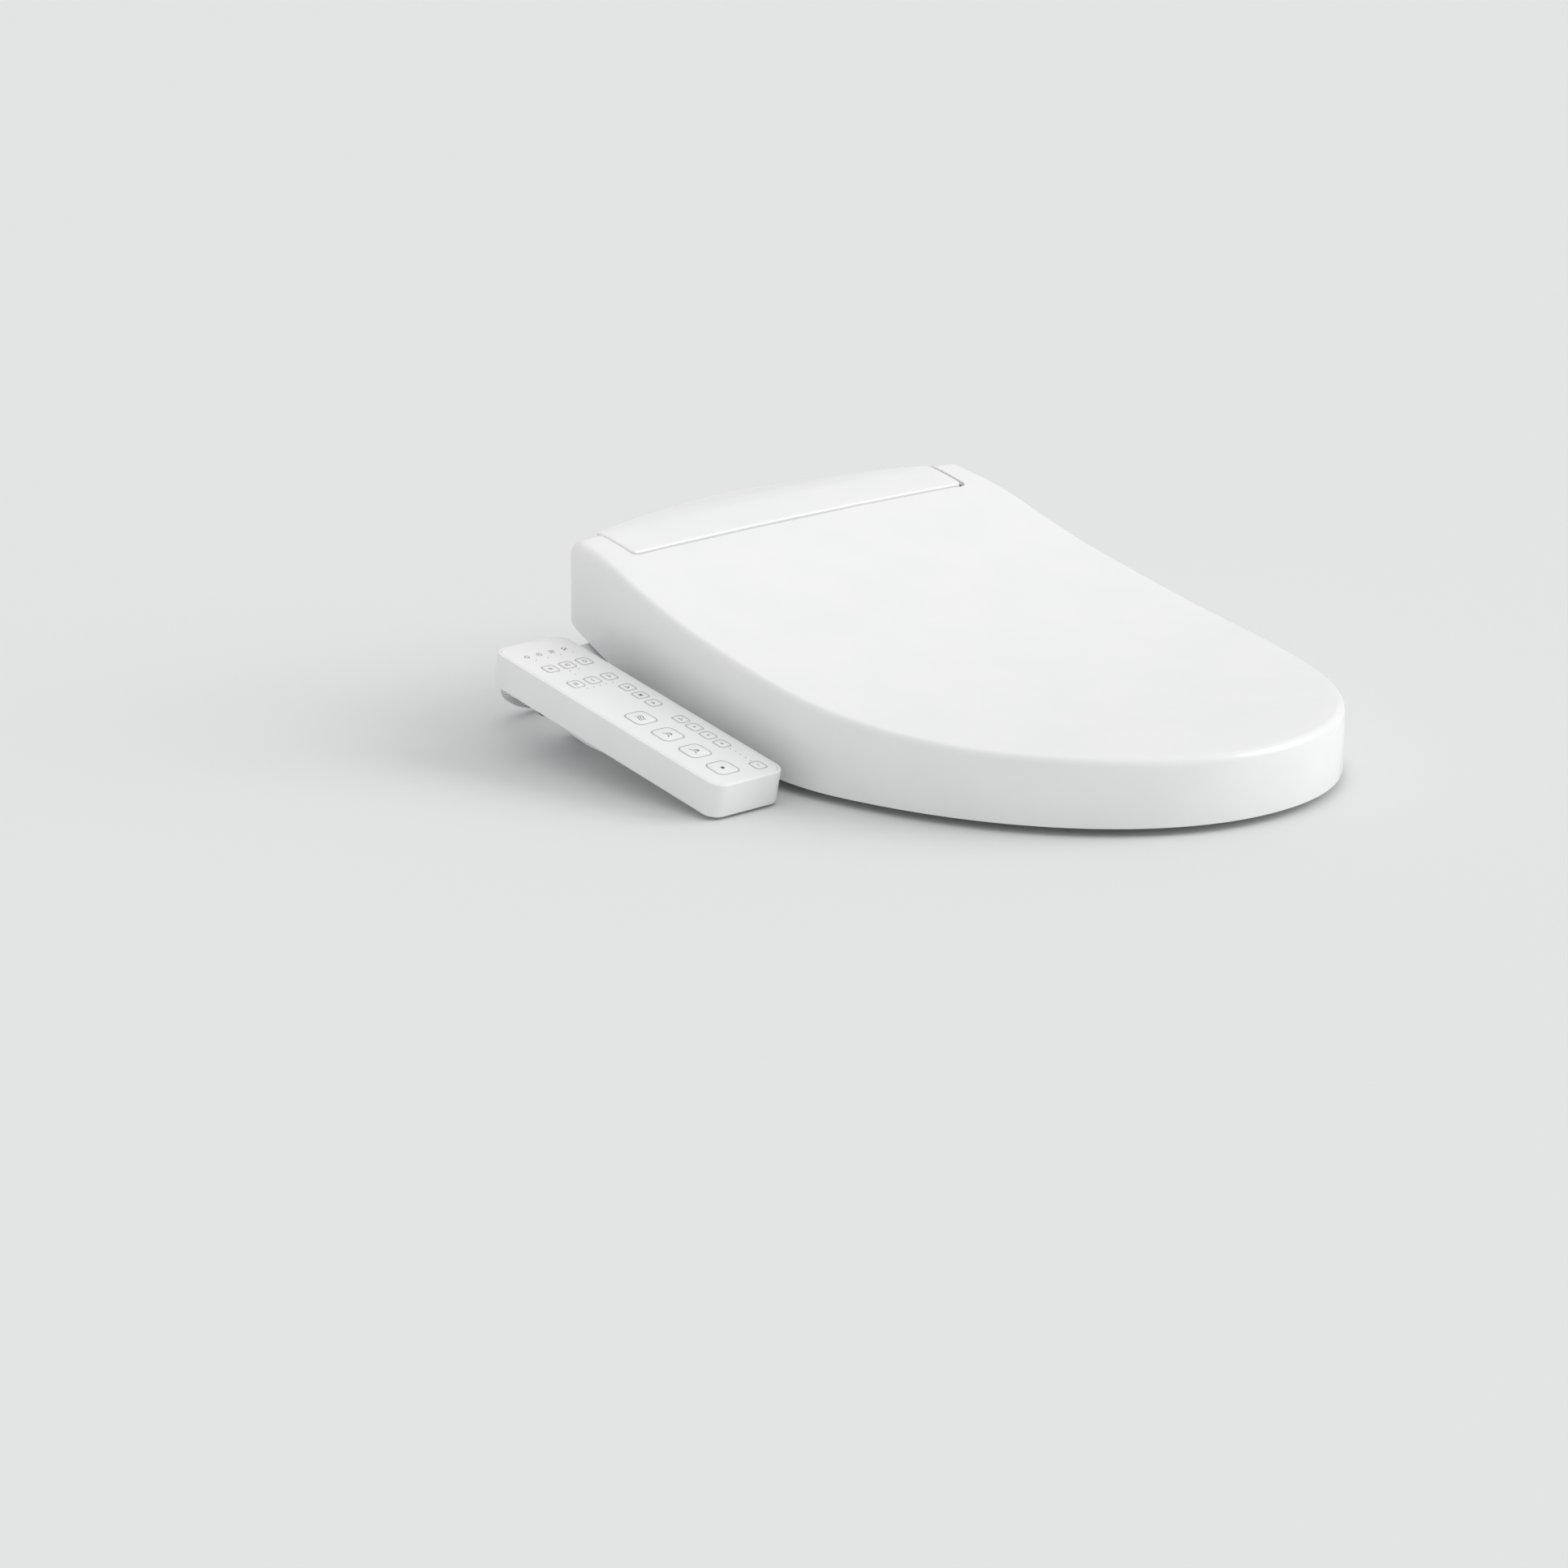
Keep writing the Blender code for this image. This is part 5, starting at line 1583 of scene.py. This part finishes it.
@dataclass
class ControlArm:
    """The side arm: its housing, face plate, sprung keys, printed marks and lower shell."""

    tilt: float = math.radians(12.35)
    corner: Point = (-0.243, 0.0166, 0.0726)
    length: float = 0.2283
    width: float = 0.062
    depth: float = 0.0235
    round: float = 0.0105
    face_inset: float = 0.0022
    face_thick: float = 0.002
    gap: float = 0.0004
    key_floor: float = -0.0044
    key_gap: float = 0.00035
    key_top: float = 0.0002
    large_key: float = 0.007
    key_corners: tuple[float, float] = (0.0048, 0.0026)
    mark_scales: tuple[float, float] = (0.0021, 0.00135)
    # where and how wide the line of painted shade round each key is drawn
    shade_line_inset: float = 0.0004
    shade_line_width: float = 0.00032
    status_marks: tuple[tuple[float, Mark], ...] = (
        (-0.0160, Mark.RING), (-0.0054, Mark.CLOCK), (0.0054, Mark.WAVES), (0.0166, Mark.DROPS))
    status_y: float = -0.0196
    status_scale: float = 0.0016
    lamp_radius_mm: float = 0.45
    belly_start: float = -0.0478
    belly_length: float = 0.077
    belly_sag: float = 0.0115
    belly_x: tuple[float, float] = (-0.0215, 0.0265)
    belly_width: float = 0.048
    keys: tuple[Key, ...] = (
        Key("key_stop", -0.0073, -0.2073, 0.0091, 0.0089, Mark.SQUARE),
        Key("key_rear_wash", -0.0073, -0.1803, 0.0091, 0.0089, Mark.FOUNTAIN),
        Key("key_front_wash", -0.0073, -0.1533, 0.0091, 0.0089, Mark.JET),
        Key("key_dryer", -0.0073, -0.1263, 0.0091, 0.0089, Mark.WAVES),
        Key("key_pressure_down", 0.0172, -0.2146, 0.0048, 0.0052, Mark.MINUS),
        Key("key_pressure_up", 0.0168, -0.1797, 0.0048, 0.0052, Mark.PLUS),
        Key("key_position_front", 0.0168, -0.1659, 0.0048, 0.0052, Mark.RIGHT),
        Key("key_position_rear", 0.0168, -0.1525, 0.0048, 0.0052, Mark.LEFT),
        Key("key_oscillate", 0.0165, -0.1393, 0.0048, 0.0052, Mark.SWEEP),
        Key("key_pulse", 0.0162, -0.1121, 0.0051, 0.0048, Mark.PULSE),
        Key("key_soft_wash", 0.0162, -0.0989, 0.0051, 0.0048, Mark.FAN),
        Key("key_rinse", 0.0162, -0.0857, 0.0051, 0.0048, Mark.DROPS),
        Key("key_power_save", 0.0162, -0.0411, 0.0052, 0.0050, Mark.POWER),
        Key("key_timer", 0.0014, -0.0410, 0.0052, 0.0050, Mark.CLOCK),
        Key("key_deodorise", -0.0134, -0.0410, 0.0052, 0.0050, Mark.LEAF),
        Key("key_seat_heat", 0.0160, -0.0670, 0.0052, 0.0050, Mark.TWO_BARS),
        Key("key_water_heat", 0.0014, -0.0670, 0.0052, 0.0050, Mark.BAR),
        Key("key_air_heat", -0.0132, -0.0670, 0.0052, 0.0050, Mark.WAVES),
    )

    @property
    def frame(self) -> Matrix:
        """Give the arm's frame: x towards the lid, y to the rear, z square to its top."""
        return Matrix.Translation(Vector(self.corner)) @ Matrix.Rotation(self.tilt, 4, "X")

    def plan(self, inset: float) -> Plan:
        """Draw the arm's outline, drawn in by an inset."""
        return rounded(self.width / 2 - inset, self.length / 2 - inset,
                       max(self.round - inset, 0.003), (0.0, -self.length / 2), 12)

    def set_down(self, made: bpy.types.Object) -> bpy.types.Object:
        """Move a mesh from the arm's frame to its place."""
        made.data.transform(self.frame)
        return made

    def key_plan(self, key: Key, grow: float = 0.0) -> Plan:
        """Draw a key's outline, grown by a margin."""
        corner = self.key_corners[key.half_x < self.large_key]
        return rounded(key.half_x + grow, key.half_y + grow, corner + grow, (key.x, key.y), 8)

    def build(self) -> None:
        """Make the arm's pieces."""
        self.housing()
        self.lower_shell()
        self.face()
        for key in self.keys:
            self.key(key)
        self.prints()

    def housing(self) -> None:
        """Make the housing: a tray with a rounded rim, recessed above and below."""
        rim, foot, hollow = 0.0011, 0.0016, 0.0030
        recess = self.face_inset
        levels = [(hollow, -self.depth + 0.0030), (hollow, -self.depth + 0.0003),
                  (hollow - 0.0003, -self.depth), (foot, -self.depth)]
        levels += [(foot * (1 - math.sin(turn)), -self.depth + foot * (1 - math.cos(turn)))
                   for turn in quarter(6, 1)]
        levels.append((0.0, -rim))
        levels += [(rim * (1 - math.cos(turn)), -rim + rim * math.sin(turn))
                   for turn in quarter(6, 1)]
        levels += [(recess - 0.0001, 0.0), (recess, -0.0001), (recess, -self.face_thick - self.gap),
                   (recess + 0.0025, -self.face_thick - self.gap),
                   (recess + 0.0025, self.key_floor)]
        rings = [[(x, y, z) for x, y in self.plan(inset)] for inset, z in levels]
        housing = self.set_down(Maker.loft("arm_tray", rings, PANEL_WHITE))
        Maker.hand_over(housing, "gloss_white", "main_unit", "arm_housing")

    def face(self) -> None:
        """Make the face plate with a window for each key."""
        inset = self.face_inset + self.gap / 2
        rings = [[(x, y, z) for x, y in self.plan(inset + more)]
                 for more, z in ((0.0, -self.face_thick), (0.0, -0.0002), (0.0002, 0.0))]
        face = Maker.loft("arm_face", rings, PANEL_WHITE)
        Maker.combine(face, [Maker.prism("window", self.key_plan(key, self.key_gap), -0.01, 0.01)
                             for key in self.keys])
        Maker.smooth(face)
        Maker.hand_over(self.set_down(face), "satin_white", "main_unit", "face_plate")

    def key(self, key: Key) -> None:
        """Make one key with its printed mark, and a thin grey line of painted shade just inside its
        edge, where the gap to its window is dark.

        Args:
            key: which key.
        """
        low, edge = self.key_floor + 0.0012, 0.0003
        levels = ((0.0, low), (0.0, self.key_top - edge), (-edge * 0.3, self.key_top - edge * 0.3),
                  (-edge, self.key_top))
        rings = [[(x, y, z) for x, y in self.key_plan(key, grow)] for grow, z in levels]
        cap = self.set_down(Maker.loft(f"{key.name}_cap", rings, KEY_WHITE))
        Maker.hand_over(cap, "satin_white", key.name, key.name)
        scale = self.mark_scales[key.half_x < self.large_key]
        drawing = Printer(f"{key.name}_mark", (key.x, key.y), self.key_top, scale)
        drawing.draw(key.mark)
        mark = drawing.finish(INK, self.frame)
        Maker.hand_over(mark, "dark_grey", key.name)
        # painted shade: a thin mid-grey ring just inside the key's edge stands in for the dark gap
        # between the key and its window
        outline = Printer(f"{key.name}_outline", (0.0, 0.0), self.key_top, 1.0)
        ring = [(y, -x) for x, y in self.key_plan(key, -self.shade_line_inset)]
        outline.ribbon(ring, self.shade_line_width, closed=True)
        shade_line = outline.finish(GAP_SHADE_INK, self.frame)
        Maker.hand_over(shade_line, "light_grey", key.name)

    def prints(self) -> None:
        """Print the status marks and the small lamps on the face."""
        marks = Printer("face_status_marks", (0.0, 0.0), 0.0, 1.0)
        for x, mark in self.status_marks:
            marks.middle, marks.scale = (x, self.status_y), self.status_scale
            marks.draw(mark)
        ink = marks.finish(INK, self.frame)
        Maker.hand_over(ink, "dark_grey", "main_unit")
        lamps = Printer("face_lamps", (0.0, 0.0), 0.0, 0.001)
        spots = [(x, -26.0) for x in (-13.5, -3.0, 8.0, 19.0)]
        spots += [(-3.0, -48.8), (-3.0, -54.4), (4.5, -48.8)]
        spots += [(-10.0 + 5.5 * i, -75.2) for i in range(5)]
        spots += [(17.4, -187.5 - 4.9 * i) for i in range(5)]
        for x, y in spots:
            lamps.patch(lamps.circle(y, -x, self.lamp_radius_mm, steps=14))
        glow = lamps.finish(LAMP, self.frame)
        Maker.hand_over(glow, "dark_grey", "main_unit")

    def lower_shell(self) -> None:
        """Make the lower shell, which closes the arm and swells below its rear half."""
        inset, low = 0.0034, -self.depth
        rings = [[(x, y, z) for x, y in self.plan(inset + more)]
                 for more, z in ((0.0, low + 0.0025), (0.0, low + 0.0002), (0.0002, low))]
        shell = Maker.loft("arm_lower_shell", rings, SATIN_WHITE)
        belly = []
        for row in range(25):
            t = row / 24
            y = self.belly_start - self.belly_length * t
            sag = self.belly_sag * math.sin(math.pi * t) ** 0.5
            ring = [(self.belly_x[0], y, low + 0.0012)]
            for col in range(13):
                s = col / 12
                side = min(1.0, (1 - abs(2 * s - 1) ** 6) ** (1 / 3) if 0 < s < 1 else 0.0)
                ring.append((self.belly_x[0] + self.belly_width * s, y,
                             low + 0.0004 - (sag + 0.0004) * side))
            ring.append((self.belly_x[1], y, low + 0.0012))
            belly.append(ring)
        Maker.combine(shell, [Maker.loft("belly", belly)], "UNION")
        Maker.smooth(shell)
        Maker.hand_over(self.set_down(shell), "light_grey", "main_unit", "arm_base")


# ---- water inlet -----------------------------------------------------------------------------
@dataclass
class WaterInlet:
    """The water block under the arm, its two slotted caps and the plated coupling."""

    low: Point = (-0.238, -0.024, 0.0221)
    high: Point = (-0.2122, 0.014, 0.0381)
    middle_z: float = 0.0301
    gap: float = 0.0004
    inlet: Point = (-0.225, 0.0144, 0.0301)
    cap_y: tuple[float, float] = (-0.0165, 0.0035)
    slot_half: tuple[float, float] = (0.0050, 0.0007)
    slot_floor: float = 0.0026

    def build(self) -> None:
        """Make the block, the caps and the coupling."""
        body = Maker.soften(Maker.block("inlet_block", self.low, self.high, LIGHT_GREY), 0.0018, 4)
        Maker.hand_over(body, "light_grey", "main_unit", "water_block")
        for n, y in enumerate(self.cap_y, 1):
            profile = [(0.0, 0.0070), (0.0026, 0.0070), (0.0033, 0.0067), (0.0036, 0.0060)]
            cap = Maker.turned(f"slotted_cap_{n}", profile, (self.low[0] - self.gap, y, self.middle_z),
                               (-1, 0, 0), DARK_GREY, 48)
            for half_y, half_z in (self.slot_half[::-1], self.slot_half):
                Maker.combine(cap, [Maker.block(
                    "slot", (self.low[0] - 0.01, y - half_y, self.middle_z - half_z),
                    (self.low[0] - self.slot_floor, y + half_y, self.middle_z + half_z))])
            Maker.hand_over(cap, "dark_grey", "main_unit", f"drain_cap_{n}")

        def knurl(distance: float, turn: float) -> float:
            return 1.0 - 0.03 * max(0.0, math.cos(24 * turn)) if 0.0035 < distance < 0.0105 else 1.0

        profile = [(0.0, 0.0050), (0.0028, 0.0050), (0.0030, 0.0072), (0.0036, 0.0078),
                   (0.0104, 0.0078), (0.0110, 0.0072), (0.0112, 0.0068), (0.0195, 0.0068),
                   (0.0210, 0.0070), (0.0216, 0.0069), (0.0220, 0.0065)]
        coupling = Maker.turned("plated_coupling", profile, self.inlet, (0, 1, 0), CHROME, 96, knurl)
        Maker.hand_over(coupling, "chrome", "main_unit", "inlet_coupling")


@dataclass
class CarriedOver:
    """The frame's own pieces that keep their shape and get their finish."""

    finishes: tuple[tuple[Finish, tuple[str, ...]], ...] = (
        (LIGHT_GREY, ("base_plate", "hinge_damper_left", "hinge_damper_right", "wand_cradle",
                      "inlet_valve")),
        (SATIN_WHITE, ("fixing_bolt_left", "fixing_bolt_right", "dryer_flap", "strain_relief")),
        (GLOSS_WHITE, ("nozzle_wand",)),
        (DARK_GREY, ("wand_motor", "heater_tank", "dryer_fan")),
        (RUBBER, ("lid_bumper_left", "lid_bumper_right", "seat_bumper_front_left",
                  "seat_bumper_front_right", "seat_bumper_rear_left", "seat_bumper_rear_right")),
        (BOARD, ("control_board",)),
    )

    def dress(self, nodes: dict[str, bpy.types.Object]) -> None:
        """Give each piece its finish.

        Args:
            nodes: the frame's nodes by name.
        """
        for finish, names in self.finishes:
            for name in names:
                node = nodes[name]
                node.data.materials.clear()
                node.data.materials.append(finish.make())
                LOG.info("%s is dressed in %s", name, finish.name)


def main() -> None:
    """Load the frame and build every sub-assembly round it."""
    logging.basicConfig(level=logging.INFO, format="%(name)s: %(message)s")
    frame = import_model()
    Studio().build()
    SupplyHose().build()
    MainsLead().build()
    Lid().build()
    TopPlate().build()
    Seat().build()
    MainUnit().build()
    ControlArm().build()
    WaterInlet().build()
    CarriedOver().dress(frame["nodes"])


if __name__ == "__main__":
    main()
